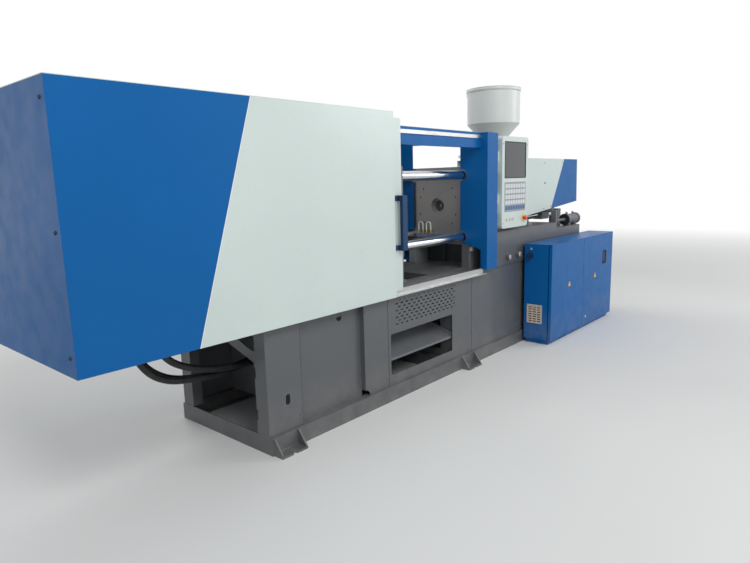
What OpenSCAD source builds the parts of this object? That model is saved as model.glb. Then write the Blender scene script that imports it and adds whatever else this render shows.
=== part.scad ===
// Horizontal injection moulding machine, 150 t class, in millimetres.
// +X runs from the clamp end to the injection end, the operator stands on the -Y side,
// and the origin is on the floor under the middle of the base.

/* [Base] */
// Length of the base
base_l = 4400; // [4300:10:4500]
// Width of the base over its rails
base_w = 880; // [870:2:890]
// Height of the base without the raised bed
base_h = 730; // [715:5:735]
// Height of the skid rails
rail_h = 100; // [80:5:120]
// Width of the skid rails
rail_w = 60; // [50:5:80]
// Sheet thickness of panels and covers
sheet = 3; // [2:0.5:4]
// Distance that the panels stand back from the rail
panel_set = 20; // [15:1:25]
// Depth of the recess in the front panels
recess = 37; // [30:1:45]
// Width of the end posts
post_w = 97; // [80:1:110]
// Width of an anchor foot
foot_w = 180; // [120:10:200]
// Reach of an anchor foot beyond the rail
foot_reach = 71; // [60:1:90]
// Width of the notch in an anchor foot
foot_notch = 30; // [20:1:36]

/* [Parts bay] */
// Length of the bay under the mould
bay_l = 725; // [600:5:740]
// Lowest edge of the bay
bay_low = 170; // [150:5:200]
// Height of the bay
bay_h = 280; // [240:5:300]
// Columns of slots in the grille
grille_cols = 13; // [8:1:13]
// Rows of slots in the grille
grille_rows = 9; // [5:1:9]

/* [Clamp unit] */
// Height of the machine axis over the floor
axis_h = 1235; // [1225:5:1250]
// Mould face of the stationary platen, from the middle of the base
fixed_face = -20; // [-24:1:-16]
// Width and height of a platen
platen_w = 620; // [600:5:630]
// Thickness of the stationary platen
platen_t = 180; // [160:5:190]
// Distance of the tie bar centres from the platen's edge
tie_edge = 65; // [60:1:70]
// Tie bar diameter
tie_d = 70; // [60:1:76]
// Opening between the platens at rest
daylight = 850; // [830:5:870]
// Stroke of the moving platen
stroke = 450; // [400:10:480]
// Stroke of the ejector
eject_stroke = 90; // [60:5:95]
// Diameter of the clamp piston rod
ram_d = 200; // [160:5:220]
// Diameter of the clamp piston
piston_d = 320; // [300:5:330]
// Diameter of the locating ring seat
ring_d = 125; // [110:1:130]
// Depth of the locating ring seat
ring_deep = 25; // [15:1:30]
// Pitch of the outer mould bolts, both ways
bolt_wide = 280; // [260:5:300]
// Radius of a mould bolt hole
bolt_r = 7; // [6:0.5:8.5]

/* [Clamp housing] */
// Length of the clamp housing
housing_l = 1992; // [1980:2:2010]
// Width of the clamp housing
housing_w = 960; // [956:2:966]
// Lowest edge of the clamp housing
housing_low = 708; // [704:1:710]
// Top of the clamp housing
housing_top_z = 1867; // [1860:1:1880]
// Right edge of the housing, from the middle of the base
housing_x1 = -1168; // [-1174:1:-1162]
// Slanted colour split at the top, from the end of the housing
split_top = 920; // [850:10:960]
// Slanted colour split at the bottom, from the end of the housing
split_low = 550; // [450:10:600]

/* [Safety gates] */
// Width of a gate
gate_w = 1150; // [1145:1:1155]
// Lowest edge of a gate
gate_low = 742; // [738:1:746]
// Top of a gate
gate_top = 1834; // [1820:1:1836]
// Thickness of a gate
gate_t = 30; // [24:1:32]
// Length of the grip of the gate handle
grip_l = 350; // [280:5:380]
// Travel of a gate
gate_travel = 1030; // [1000:5:1035]

/* [Guard portal] */
// Top of the blue guard
guard_top = 1795; // [1790:1:1805]
// Width of the guard's front face
guard_w = 157; // [150:1:165]
// Depth of the guard's side plate
guard_deep = 245; // [235:1:250]

/* [Injection unit] */
// Height of the machine axis over the raised bed
bed_drop = 220; // [210:1:230]
// Length of the raised bed
bed_l = 1620; // [1600:5:1640]
// Step down of the bed at its rear end
bed_step = 53; // [45:1:60]
// Diameter of the plasticising screw
screw_d = 40; // [36:1:46]
// Outer diameter of the barrel
barrel_d = 110; // [100:1:116]
// Stroke of the screw
screw_stroke = 160; // [120:5:165]
// Carriage travel back from the mould
carriage_back = 200; // [150:5:210]
// Centre of the feed opening, from the middle of the base
feed_x = 880; // [870:1:890]
// Length of the injection cover
cover_l = 1320; // [1300:5:1340]
// Width of the injection cover
cover_w = 632; // [620:2:640]
// Height of the injection cover's top over the machine axis
cover_h = 385; // [375:1:395]

/* [Hopper] */
// Diameter of the hopper
hopper_d = 474; // [460:2:490]
// Height of the hopper over the injection cover
hopper_rise = 620; // [600:5:640]
// Height of the hopper's straight wall
hopper_wall_h = 305; // [290:5:320]
// Inner diameter of the hopper outlet
outlet_d = 110; // [90:2:120]
// Sideways travel of the hopper
hopper_travel = 200; // [150:5:210]

/* [Control panel] */
// Width of the control panel
panel_w = 440; // [420:5:450]
// Height of the control panel
panel_h = 730; // [700:5:740]
// Depth of the control panel
panel_d = 90; // [80:2:94]
// Lowest edge of the control panel
panel_low = 1045; // [1040:1:1055]

/* [Electric cabinet] */
// Length of the cabinet
cab_l = 1440; // [1400:10:1460]
// Depth of the cabinet with its doors
cab_d = 251; // [240:1:270]
// Top of the cabinet
cab_top = 880; // [860:5:900]
// Height of the plinth
plinth_h = 40; // [30:1:60]
// Thickness of a door leaf
leaf_t = 25; // [20:1:30]

/* [Hidden] */

blue = [0.02, 0.36, 0.66];
pale = [0.80, 0.85, 0.83];
frame_grey = [0.33, 0.35, 0.37];
navy = [0.07, 0.18, 0.36];
steel = [0.62, 0.63, 0.65];
cast = [0.45, 0.47, 0.49];
black = [0.08, 0.08, 0.09];

// Running clearance of a shaft in its bore, on the radius
run = 0.05;
// Smooth round parts
$fn = 64;

// Base
x0 = -base_l / 2;
x1 = base_l / 2;
yr = base_w / 2;
yp = yr - panel_set;
yi = yp - sheet;
post_l = 60;
beam_h = 80;
beam_w = 177;
plate_t = 12;
web = 8;
bay_x0 = housing_x1 + 3;
bay_x1 = bay_x0 + bay_l;
grille_z = [496, 704];
panel_low_z = rail_h;
panel_top_z = base_h - 24;
grille_x = [bay_x0 - 26, bay_x1 + 270];
bulkheads = [grille_x[0], bay_x1 + 20, 0, x1 - 1000];
floor_z = rail_h + 6;
recess_x = [x0 + 245, x0 + 776];
recess_y = -yp + recess;

// Clamp unit
tie_pitch = platen_w - 2 * tie_edge;
tie_r = tie_d / 2;
tie_y = tie_pitch / 2;
half_p = platen_w / 2;
leg_y = [half_p - 75, half_p - 5];
move_face = fixed_face - daylight;
slab_t = 110;
eject_room = 160;
rear_plate_t = 60;
slab_x = move_face - slab_t;
cavity_x = slab_x - eject_room;
ram_x = cavity_x - rear_plate_t;
block_x1 = ram_x - 300;
block_t = 250;
block_x0 = block_x1 - block_t;
gland = 60;
cyl_wall = 40;
piston_t = 80;
cap_t = 50;
piston_x = block_x1 - gland - stroke - 340;
cyl_x0 = piston_x - 60;
nut_d = 120;
nut_t = 70;
tie_end = 20;
way_h = 15;
shoe_h = 20;

// Housing and guards
hy = housing_w / 2;
housing_x0 = housing_x1 - housing_l;
frame_y = [380, 420];
tube = 40;
seam = 0.3;
long_z = [guard_top - 60, guard_top];
gate_y0 = hy - 20 - gate_t;
gate_x1 = fixed_face - 25 - gate_travel;
gate_x0 = gate_x1 - gate_w;
guard_x0 = fixed_face - 20;
guard_x1 = guard_x0 + guard_w;
guard_low = base_h + 10;
header_z = guard_top - 115;
rail_lip = 14;
window_z = [1050, 1680];
window_x = [gate_x0 + 100, gate_x1 - 120];
window_r = 60;

// Injection unit
bed_h = axis_h - bed_drop;
bed_low = bed_h - bed_step;
bed_step_x = 1350;
cover_top = axis_h + cover_h;
bed_x0 = 280;
bed_y = 430;
rod_d = 60;
rod_y = 180;
rod_z = bed_h + 60;
rod_x = [300, bed_x0 + bed_l - 15];
carriage_z = [bed_h + 100, bed_h + 120];
yoke_x = [feed_x - 120, feed_x + 100];
yoke_y = 170;
yoke_z = axis_h + 100;
nozzle_d = 60;
nozzle_tip = 30;
barrel_x0 = 200;
inj_cyl_d = 110;
inj_rod_d = 45;
inj_y = 160;
drive_x = 1400;
drive_t = 80;
seat_x = [1659, 1925];
seat_y = 370;
seat_d = 100;
seat_z = bed_low + 60;
seat_rod_d = 30;
motor_d = 190;
motor_l = 220;
cover_x0 = feed_x - 120;
cover_x1 = cover_x0 + cover_l;
cover_low = [bed_h + 70, bed_h + 175];
cover_split = [985, 700];
notch_x = feed_x + 90;

// Hopper
neck_d = outlet_d + 24;
hopper_top = cover_top + hopper_rise;
hopper_wall_z = hopper_top - hopper_wall_h;
track_z = cover_top + 25;
track_t = 12;
shutter_t = 6;
flange_t = 12;
foot_t = 8;
lid_pin = 6;
spout_h = 50;
hopper_wall = 3;
lid_t = 8;

// Control panel
hinge_x = guard_x1 + 33;
hinge_y = -(hy - 35);
pin_d = 16;
knuckle_d = 40;
knuckle_h = 80;
panel_x0 = hinge_x + 20;
panel_y0 = -(hy + 10);
corner_r = 30;

// Cabinet
cab_x0 = 640;
cab_x1 = cab_x0 + cab_l;
cab_y1 = -(yr + 19);
cab_y0 = cab_y1 - cab_d;
leaf_gap = 8;
switch_y = cab_y0 + 196;
switch_z = cab_top - 101;
leaf_mid = cab_x0 + 692;
leaf_room = 3.5;
hinge_in = 14;
hinge_r = 5;

// Box between two corners
module block(x, y, z) {
  translate([x[0], y[0], z[0]]) cube([x[1] - x[0], y[1] - y[0], z[1] - z[0]]);
}

// The same piece on both sides of the machine's centre plane
module both_sides() {
  children();
  mirror([0, 1, 0]) children();
}

// Round bars along the three axes
module bar_x(x, y, z, d) translate([x[0], y, z]) rotate([0, 90, 0]) cylinder(h = x[1] - x[0], d = d);
module bar_y(x, y, z, d) translate([x, y[1], z]) rotate([90, 0, 0]) cylinder(h = y[1] - y[0], d = d);
module bar_z(x, y, z, d) translate([x, y, z[0]]) cylinder(h = z[1] - z[0], d = d);

// Profile drawn in X and Z, made thick along Y
module side_plate(y) translate([0, y[1], 0]) rotate([90, 0, 0]) linear_extrude(y[1] - y[0]) children();

// Profile drawn in Y and Z, made thick along X
module end_plate(x) translate([x[0], 0, 0]) rotate([90, 0, 90]) linear_extrude(x[1] - x[0]) children();

// Rectangle with round corners
module soft_rect(a, b, r) {
  translate([a[0] + r, b[0]]) square([a[1] - a[0] - 2 * r, b[1] - b[0]]);
  translate([a[0], b[0] + r]) square([a[1] - a[0], b[1] - b[0] - 2 * r]);
  for (u = [a[0] + r, a[1] - r], v = [b[0] + r, b[1] - r]) translate([u, v]) circle(r, $fn = 40);
}

// The four tie bar places
module at_ties() for (y = [-tie_y, tie_y], z = [-tie_y, tie_y]) translate([0, y, axis_h + z]) children();

// Mould bolt holes: a wide square and a flatter rectangle
module bolt_holes(x) {
  for (p = [[bolt_wide, bolt_wide], [bolt_wide + 70, bolt_wide / 2]], y = [-0.5, 0.5], z = [-0.5, 0.5])
    bar_x(x, p[0] * y, axis_h + p[1] * z, 2 * bolt_r);
}

// Base

module rail_profile() {
  difference() {
    translate([yr - rail_w, 0]) square([rail_w, rail_h]);
    translate([yr - rail_w - 1, web]) square([rail_w - web + 1, rail_h - 2 * web]);
  }
}

module foot() {
  difference() {
    translate([0, 0, 0]) cube([foot_w, foot_reach, plate_t]);
    translate([foot_w / 2, foot_reach, -1]) cylinder(h = plate_t + 2, d = foot_notch);
  }
  for (x = [0, foot_w - 10])
    translate([x, 0, plate_t]) rotate([90, 0, 90]) linear_extrude(10)
      polygon([[0, 0], [foot_reach - 5, 0], [foot_reach - 5, 8], [8, rail_h - plate_t - 4],
        [0, rail_h - plate_t - 4]]);
}

module skid_frame() color(frame_grey) {
  both_sides() {
    end_plate([x0, x1]) rail_profile();
    translate([x0 + 1860, yr, 0]) foot();
  }
  mirror([0, 1, 0]) translate([x0 + 10, yr, 0]) foot();
  for (x = [x0 + 330, x1 - foot_w - 10]) translate([x, yr, 0]) foot();
  for (x = bulkheads) block([x - 30, x + 30], [-yr + rail_w - 1, yr - rail_w + 1], [0, rail_h]);
  for (x = [x0, x1 - web]) block([x, x + web], [-yr, yr - 30], [0, rail_h]);
  // The end plate runs to the rear rail with a rounded end
  for (x = [x0, x1 - web]) end_plate([x, x + web]) soft_rect([yr - 120, yr], [0, rail_h], 30);
}

module end_arch() {
  difference() {
    polygon([[-yi, rail_h], [-yi + post_w, rail_h], [-yi + post_w, 505], [-60, 592], [60, 592],
      [yi - post_w, 505], [yi - post_w, rail_h], [yi, rail_h], [yi, base_h], [-yi, base_h]]);
    for (s = [-1, 1]) {
      translate([s * 312, 606]) circle(38);
      polygon([[s * 350, 606], [s * 350, 690], [s * 120, 690], [s * 120, 642], [s * 300, 570]]);
    }
    for (z = [180, 420]) translate([-yi + post_w - 12, z]) square([14, 60]);
  }
}

module base_body() color(frame_grey) {
  deep = recess_y + sheet;
  difference() {
    base_frame();
    block([recess_x[0] - 2, recess_x[1] + 5], [-yi - 1, deep], [rail_h - 1, base_h - plate_t]);
  }
  block([recess_x[0] - 2, recess_x[1] + 5], [deep, deep + plate_t], [base_h - beam_h, base_h - 1]);
}

module base_frame() {
  end_plate([x0, x0 + web]) end_arch();
  end_plate([x1 - web, x1]) translate([-yi, rail_h]) square([2 * yi, base_h - rail_h]);
  both_sides() {
    for (x = [x0 + web, x1 - post_l - web])
      block([x, x + post_l], [yi - post_w, yi], [rail_h, base_h - beam_h]);
    // Channel beams that carry the clamp and the injection bed
    difference() {
      block([x0 + web, x1 - web], [yi - beam_w, yi], [base_h - beam_h, base_h]);
      block([x0 + post_l + web, x1 - post_l - web], [yi - beam_w - 1, yi - plate_t],
        [base_h - beam_h + plate_t, base_h - plate_t]);
    }
    // Feet of the guards on the outside of the beam
    block([guard_x0, guard_x1], [yi, yp], [panel_top_z + 2, base_h]);
  }
  for (x = bulkheads) difference() {
    block([x, x + web], [-yi, yi], [rail_h, base_h - 1]);
    block([x - 1, x + web + 1], [-yi + 120, yi - 120], [rail_h + 60, base_h - 150]);
  }
  // Fitting plate of the hoses, across the clamp end
  block([hose_end_x, hose_end_x + web], [-yi, yi], [rail_h, hose_end_z + 80]);
  for (y = hose_y) bar_x([hose_end_x - fitting_l, hose_end_x], y, hose_end_z, 54);
  // Floor of the part that holds the hydraulics
  block([bulkheads[1], x1 - web], [-yi, yi], [rail_h, floor_z]);
  // Hardened ways of the moving platen
  both_sides() block([slab_x - 80, fixed_face - 10], [yi - beam_w + 6, half_p], [base_h, base_h + way_h]);
  block([x0 + web, grille_x[0]], [-yi + beam_w, yi - beam_w], [base_h - plate_t, base_h]);
  block([bay_x1 + 20, x1 - web], [-yi + beam_w, yi - beam_w], [base_h - plate_t, base_h]);
}

// Sheet panel on the operator side between two X places
module base_panel(x) block(x, [-yp, -yi], [panel_low_z, panel_top_z]);

// The second panel stands back from the third in one folded sheet with a rounded corner
module front_panels() color(frame_grey) {
  z = [panel_low_z, panel_top_z];
  difference() {
    base_panel([x0, recess_x[0] - 2]);
    side_plate([-yp - 1, -yi + 1]) {
      translate([x0 + 124, 264]) square([32, 29]);
      for (k = [264, 293]) translate([x0 + 140, k]) circle(16);
    }
  }
  difference() {
    union() {
      base_panel([recess_x[1], grille_x[0] - 2]);
      for (x = recess_x) block([x, x + sheet], [-yp, recess_y + sheet], z);
      block([recess_x[0], recess_x[1] + sheet], [recess_y, recess_y + sheet], z);
    }
    bar_y(x0 + 595, [recess_y - 1, recess_y + sheet + 1], 648, 44);
    bar_y(recess_x[1], [-yp - 1, recess_y], panel_low_z, 80);
  }
  base_panel([grille_x[1] + 4, x1]);
}

module grille_slots() {
  pitch = (bay_l - 20) / grille_cols;
  row = (grille_z[1] - grille_z[0]) / grille_rows;
  for (i = [0 : grille_cols - 1], j = [0 : grille_rows - 1])
    translate([bay_x0 + 57 + i * pitch + (j % 2) * pitch / 2, grille_z[0] + (j + 0.3) * row])
      square([pitch * 0.45, row * 0.4]);
}

module grille_panel() color(frame_grey) side_plate([-yp, -yi]) difference() {
  translate([grille_x[0] + 2, panel_low_z])
    square([grille_x[1] - grille_x[0] - 2, panel_top_z - panel_low_z]);
  soft_rect([bay_x0, bay_x1], [bay_low, bay_low + bay_h], 10);
  grille_slots();
}

module rear_panels() color(frame_grey) mirror([0, 1, 0]) {
  for (x = [[0, 700], [704, 1400], [1404, 2100], [2104, 3200], [3204, base_l]])
    base_panel([x0 + x[0], x0 + x[1]]);
}

module drop_chute() color(pale) {
  reach = yi - 12;
  slope = 230 / (2 * reach);
  low = bay_low + 105;
  for (x = [grille_x[0] + web + 10, bay_x1 + 6])
    side_lip(x, low, reach, slope);
  end_plate([grille_x[0] + web + 10, bay_x1 + 10])
    polygon([[-reach, low], [reach, low + 2 * reach * slope], [reach, low + 4 + 2 * reach * slope],
      [-reach, low + 4]]);
  for (y = [-reach, reach - 30]) block([grille_x[0] + web, bay_x1 + 20], [y, y + 30],
    [low - 12 + (y + reach) * slope, low + (y + reach) * slope]);
}

module side_lip(x, low, reach, slope) end_plate([x, x + 4])
  polygon([[-reach, low], [reach, low + 2 * reach * slope], [reach, low + 34 + 2 * reach * slope],
    [-reach, low + 34]]);

module injection_bed() color(frame_grey) {
  difference() {
    union() {
      block([bed_x0, bed_step_x], [-bed_y, bed_y], [base_h, bed_h]);
      block([bed_x0, bed_x0 + bed_l], [-bed_y, bed_y], [base_h, bed_low]);
    }
    // Plate box, open below where it stands on the base, with a web under the step
    difference() {
      for (x = [[bed_x0 + plate_t, bed_step_x - plate_t, bed_h],
        [bed_step_x, bed_x0 + bed_l - plate_t, bed_low]])
        block(x, [-bed_y + plate_t, bed_y - plate_t], [base_h - 1, x[2] - plate_t]);
      block([bed_x0 - 1, bed_step_x - 60], [-90 - plate_t, 90 + plate_t], [bed_h - 60 - plate_t, bed_h]);
    }
    both_sides() block([bed_x0 - 1, bed_x0 + bed_l + 1], [bed_y - 4, bed_y + 1], [base_h - 1, base_h + 6]);
    // Trough below the barrel
    block([bed_x0 - 1, bed_step_x - 60 - plate_t], [-90, 90], [bed_h - 60, bed_h + 1]);
  }
  both_sides() block([guard_x1 + 2, bed_x0], [bed_y - 30, bed_y], [base_h, bed_h]);
  // Two round fittings on the operator side
  for (p = [[376, 792], [550, 799]]) {
    bar_y(p[0], [-bed_y - 12, -bed_y], p[1], 54);
    bar_y(p[0], [-bed_y - 28, -bed_y - 12], p[1], 40);
  }
  // Brackets of the two guide rods
  both_sides() for (x = [rod_x[0], rod_x[1] - 60]) difference() {
    block([x, x + 60], [rod_y - 50, rod_y + 50], [x > bed_step_x ? bed_low : bed_h, rod_z + 45]);
    bar_x([x - 1, x + 61], rod_y, rod_z, rod_d + 2 * run);
  }
  // Posts of the purge guard's hinge rod, which step over the guide rod
  for (x = [243, 400]) difference() {
    union() {
      block([x, x + 10], [106, 144], [x < bed_x0 ? base_h : bed_h, axis_h + 170]);
      block([x, x + 10], [106, 170], [rod_z + 45, axis_h + 170]);
    }
    bar_x([x - 1, x + 11], 150, axis_h + 155, 12 + 2 * run);
  }
}

module guide_rods() color(steel) both_sides() bar_x(rod_x, rod_y, rod_z, rod_d);

// Hydraulics inside the base

module oil_tank() color(cast) {
  tank_x = [bulkheads[2] + 200, bulkheads[3] - 20];
  // Walls and cover; the floor of the base closes it below
  difference() {
    block(tank_x, [-yi + 30, yi - 30], [floor_z, 560]);
    block([tank_x[0] + 6, tank_x[1] - 6], [-yi + 36, yi - 36], [floor_z - 1, 554]);
  }
  bar_z(bulkheads[3] - 120, 200, [560, 640], 70);
  block([bulkheads[2] + 360, bulkheads[2] + 860], [-150, 150], [560, 568]);
}

module pump_motor() color(cast) {
  x = bulkheads[3] + web;
  block([x + 40, x + 600], [-130, 130], [floor_z, rail_h + 40]);
  bar_x([x + 180, x + 600], 0, 330, 320);
  for (i = [0 : 5]) bar_x([x + 200 + 65 * i, x + 225 + 65 * i], 0, 330, 340);
  bar_x([x + 60, x + 180], 0, 330, 180);
  block([x + 200, x + 560], [-110, 110], [rail_h + 40, 200]);
  block([x + 300, x + 440], [-70, 70], [480, 560]);
}

module valve_block() color(cast) {
  x = bulkheads[1] + web;
  block([x + 60, x + 360], [-200, 200], [floor_z, rail_h + 30]);
  block([x + 110, x + 310], [-150, 150], [rail_h + 30, 330]);
  for (y = [-100, 0, 100], z = [180, 270]) bar_x([x + 60, x + 110], y, z, 56);
  for (y = [-100, 0, 100]) block([x + 180, x + 240], [y - 25, y + 25], [330, 400]);
}

// One hose along its points, as rings joined by strips
function unit(v) = v / norm(v);
function along(p, i) = unit(p[min(i + 1, len(p) - 1)] - p[max(i - 1, 0)]);
function smooth(p, n) = [for (i = [0 : len(p) - 2], k = [0 : n - 1])
  let (t = k / n, a = p[max(i - 1, 0)], b = p[i], c = p[i + 1], d = p[min(i + 2, len(p) - 1)])
    0.5 * ((2 * b) + (c - a) * t + (2 * a - 5 * b + 4 * c - d) * t * t
      + (3 * b - a - 3 * c + d) * t * t * t), p[len(p) - 1]];

module hose(points, d, sides = 10) {
  p = smooth(points, 4);
  n = len(p);
  m = len(points) - 1;
  first = unit(points[1] - points[0]);
  last = unit(points[m] - points[m - 1]);
  rings = [for (i = [0 : n - 1])
    let (t = i == 0 ? first : i == n - 1 ? last : along(p, i), s = unit(cross(t, [0, 1, 0.001])), w = cross(t, s))
      for (k = [0 : sides - 1]) p[i] + d / 2 * (cos(360 * k / sides) * s + sin(360 * k / sides) * w)];
  walls = [for (i = [0 : n - 2], k = [0 : sides - 1])
    [i * sides + k, i * sides + (k + 1) % sides, (i + 1) * sides + (k + 1) % sides,
      (i + 1) * sides + k]];
  polyhedron(rings, concat([[for (k = [sides - 1 : -1 : 0]) k]], walls,
    [[for (k = [0 : sides - 1]) (n - 1) * sides + k]]));
}

hose_d = 38;
hose_y = [20, -40, -100];
hose_end_z = 420;
hose_end_x = x0 + 360;
fitting_l = 26;
hose_x1 = hose_end_x - fitting_l;
port_x = cyl_x0 - 290;
port_z = 1020;
// Routes of the three hydraulic hoses, from the clamp cylinder's ports to the fitting plate
hose_a = [[port_x, 60, port_z], [port_x, 60, 860], [port_x + 10, 60, 700], [port_x + 60, 50, 550],
  [port_x + 160, 40, 450], [port_x + 300, 30, 400], [port_x + 500, 20, 385], [hose_x1 - 130, 20, 405],
  [hose_x1 - 50, hose_y[0], hose_end_z], [hose_x1, hose_y[0], hose_end_z]];
hose_b = [[port_x, 0, port_z], [port_x, 0, 840], [port_x - 10, -5, 660], [port_x + 50, -20, 520],
  [port_x + 160, -30, 440], [port_x + 320, -40, 410], [port_x + 500, -40, 400],
  [hose_x1 - 50, hose_y[1], hose_end_z], [hose_x1, hose_y[1], hose_end_z]];
hose_c = [[port_x, -60, port_z], [port_x, -60, 860], [port_x + 60, -70, 700], [port_x + 140, -85, 570],
  [port_x + 250, -95, 500], [port_x + 380, -100, 460], [port_x + 520, -100, 440],
  [hose_x1 - 50, hose_y[2], hose_end_z], [hose_x1, hose_y[2], hose_end_z]];

module clamp_hoses() color(black) {
  hose(hose_a, hose_d);
  hose(hose_b, hose_d);
  hose(hose_c, hose_d);
}

// Clamp unit

// Feet of a platen on the base, below the platen itself
module platen_legs(x, low) {
  both_sides() block(x, leg_y, [low, axis_h - half_p]);
}

module stationary_platen() color(cast) {
  x = [fixed_face, fixed_face + platen_t];
  difference() {
    union() {
      block(x, [-half_p, half_p], [axis_h - half_p, axis_h + half_p]);
      platen_legs(x, base_h);
    }
    at_ties() bar_x([x[0] - 1, x[1] + 1], 0, 0, tie_d + 2 * run);
    bar_x([x[0] - 1, x[0] + ring_deep], 0, axis_h, ring_d);
    bar_x([x[0], x[1] + 1], 0, axis_h, nozzle_d + 30);
    translate([x[1] - 100, 0, axis_h]) rotate([0, 90, 0])
      cylinder(h = 100.1, d1 = nozzle_d + 30, d2 = 2 * barrel_d);
    bolt_holes([x[0] - 1, x[0] + 45]);
    // Eyebolt hole on top
    bar_z(x[0] + platen_t / 2, 0, [axis_h + half_p - 40, axis_h + half_p + 1], 24);
  }
}

module tie_bars() color(steel) at_ties()
  bar_x([block_x0 - nut_t - tie_end, fixed_face + platen_t + nut_t + tie_end], 0, 0, tie_d);

module tie_bar_nuts() color(steel)
  for (x = [block_x0 - nut_t, fixed_face + platen_t]) at_ties() difference() {
    bar_x([x, x + nut_t], 0, 0, nut_d);
    bar_x([x - 1, x + nut_t + 1], 0, 0, tie_d + 2 * run);
  }

module clamp_cylinder() color(cast) {
  body_d = piston_d + 2 * cyl_wall;
  difference() {
    union() {
      block([block_x0, block_x1], [-half_p, half_p], [axis_h - half_p, axis_h + half_p]);
      platen_legs([block_x0, block_x1], base_h);
      bar_x([cyl_x0, block_x0], 0, axis_h, body_d);
      bar_x([cyl_x0 - cap_t, cyl_x0], 0, axis_h, body_d + 60);
      // Prefill valve behind the cap, with the ports of the three hoses
      bar_x([cyl_x0 - cap_t - 130, cyl_x0 - cap_t], 0, axis_h, 260);
      bar_x([cyl_x0 - cap_t - 200, cyl_x0 - cap_t - 130], 0, axis_h, 170);
      block([port_x - 60, port_x + 60], [-100, 100], [port_z, axis_h]);
      block([port_x - 60, cyl_x0 - cap_t + 10], [-60, 60], [axis_h - 150, axis_h]);
    }
    bar_x([cyl_x0, block_x1 - gland], 0, axis_h, piston_d + 2 * run);
    bar_x([block_x1 - gland - 1, block_x1 + 1], 0, axis_h, ram_d + 2 * run);
    at_ties() bar_x([block_x0 - 1, block_x1 + 1], 0, 0, tie_d + 2 * run);
  }
}

module clamp_piston() color(steel) {
  bar_x([piston_x, piston_x + piston_t], 0, axis_h, piston_d);
  bar_x([piston_x + piston_t, ram_x], 0, axis_h, ram_d);
}

module moving_platen() color(cast) {
  core = 170;
  room = 110;
  difference() {
    union() {
      block([slab_x, move_face], [-half_p, half_p], [axis_h - half_p, axis_h + half_p]);
      block([cavity_x, slab_x], [-core, core], [axis_h - core, axis_h + core]);
      block([ram_x, cavity_x], [-core, core], [axis_h - core, axis_h + core]);
      both_sides() block([cavity_x - 20, cavity_x], [core, core + 110], [axis_h - 50, axis_h + 50]);
      platen_legs([slab_x, move_face], base_h + way_h + shoe_h);
      // Wear shoes on the ways
      both_sides() block([slab_x - 40, move_face + 20], [yi - beam_w + 6, half_p],
        [base_h + way_h, base_h + way_h + shoe_h]);
    }
    block([cavity_x, slab_x], [-core - 1, core + 1], [axis_h - room, axis_h + room]);
    at_ties() bar_x([slab_x - 1, move_face + 1], 0, 0, tie_d + 2 * run);
    bar_x([slab_x - 1, move_face + 1], 0, axis_h, 40 + 2 * run);
    both_sides() bar_x([cavity_x - 21, cavity_x + 1], core + 60, axis_h, 30 + 2 * run);
    bolt_holes([move_face - 45, move_face + 1]);
  }
}

module ejector_cylinders() color(black) both_sides() difference() {
  bar_x([cavity_x - 190, cavity_x - 20], 230, axis_h, 70);
  bar_x([cavity_x - 170, cavity_x - 19], 230, axis_h, 30 + 2 * run);
}

module ejector_plate() color(steel) {
  x = cavity_x + 10;
  block([x, x + 40], [-260, 260], [axis_h - 50, axis_h + 50]);
  bar_x([x + 40, move_face - 20], 0, axis_h, 40);
  both_sides() bar_x([cavity_x - 150, x], 230, axis_h, 30);
}

// Clamp housing

module housing_frame() color(frame_grey) {
  posts = [housing_x0 + 50, x0 + 10, housing_x1 - tube];
  top = housing_top_z - sheet;
  both_sides() {
    block([posts[0], housing_x1], frame_y, long_z);
    block([posts[0], x0], frame_y, [housing_low + sheet, housing_low + sheet + tube]);
    block([posts[0], posts[0] + tube], frame_y, [housing_low + sheet, top]);
    for (x = [posts[1], posts[2]]) block([x, x + tube], frame_y, [base_h, top]);
  }
  for (x = posts) block([x, x + tube], [-hy + sheet, hy - sheet], [gate_top + 6, top]);
  block([posts[0], posts[0] + tube], [-frame_y[1], frame_y[1]],
    [housing_low + sheet, housing_low + sheet + tube]);
}

// Side view of the housing's flank, blue part or pale part
module flank(part) {
  split = [housing_x0 + split_top, housing_x0 + split_low];
  top = housing_top_z - sheet;
  if (part == "blue")
    polygon([[housing_x0, housing_low], [split[1] - seam, housing_low], [split[0] - seam, top],
      [housing_x0, top]]);
  else
    polygon([[split[1] + seam, housing_low], [housing_x1, housing_low], [housing_x1, top],
      [split[0] + seam, top]]);
}

module housing_end_cover() color(blue) {
  block([housing_x0, housing_x0 + sheet], [-hy, hy], [housing_low, housing_top_z - sheet]);
  both_sides() {
    side_plate([hy - sheet, hy]) flank("blue");
    block([housing_x0, housing_x0 + split_low - 2], [frame_y[1] - 12, hy], [housing_low, housing_low + sheet]);
  }
  block([housing_x0, housing_x0 + 50], [-hy, hy], [housing_low, housing_low + sheet]);
}

module housing_flank() {
  side_plate([hy - sheet, hy]) flank("pale");
  block([housing_x0 + split_low + 2, x0 - 1], [frame_y[1] - 3, hy - sheet],
    [housing_low, housing_low + sheet]);
}

module housing_side_front() color(pale) mirror([0, 1, 0]) housing_flank();

// Top of the housing and its rear side in one folded sheet
module housing_top_rear() color(pale) {
  housing_flank();
  block([housing_x0, housing_x1], [-hy, hy], [housing_top_z - sheet, housing_top_z]);
}

// Rails of both gates: a bar above and behind, an angle with a fin below
module gate_rails() color(steel) both_sides() {
  block([gate_x0 - 5, guard_x0], [frame_y[1], frame_y[1] + 8], [guard_top - 45, guard_top - 20]);
  block([x0, guard_x0], [yi, hy - sheet], [housing_low, housing_low + 6]);
  block([x0, guard_x0], [gate_y0 + 12, gate_y0 + 16], [housing_low + 6, gate_low + 10]);
}

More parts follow.
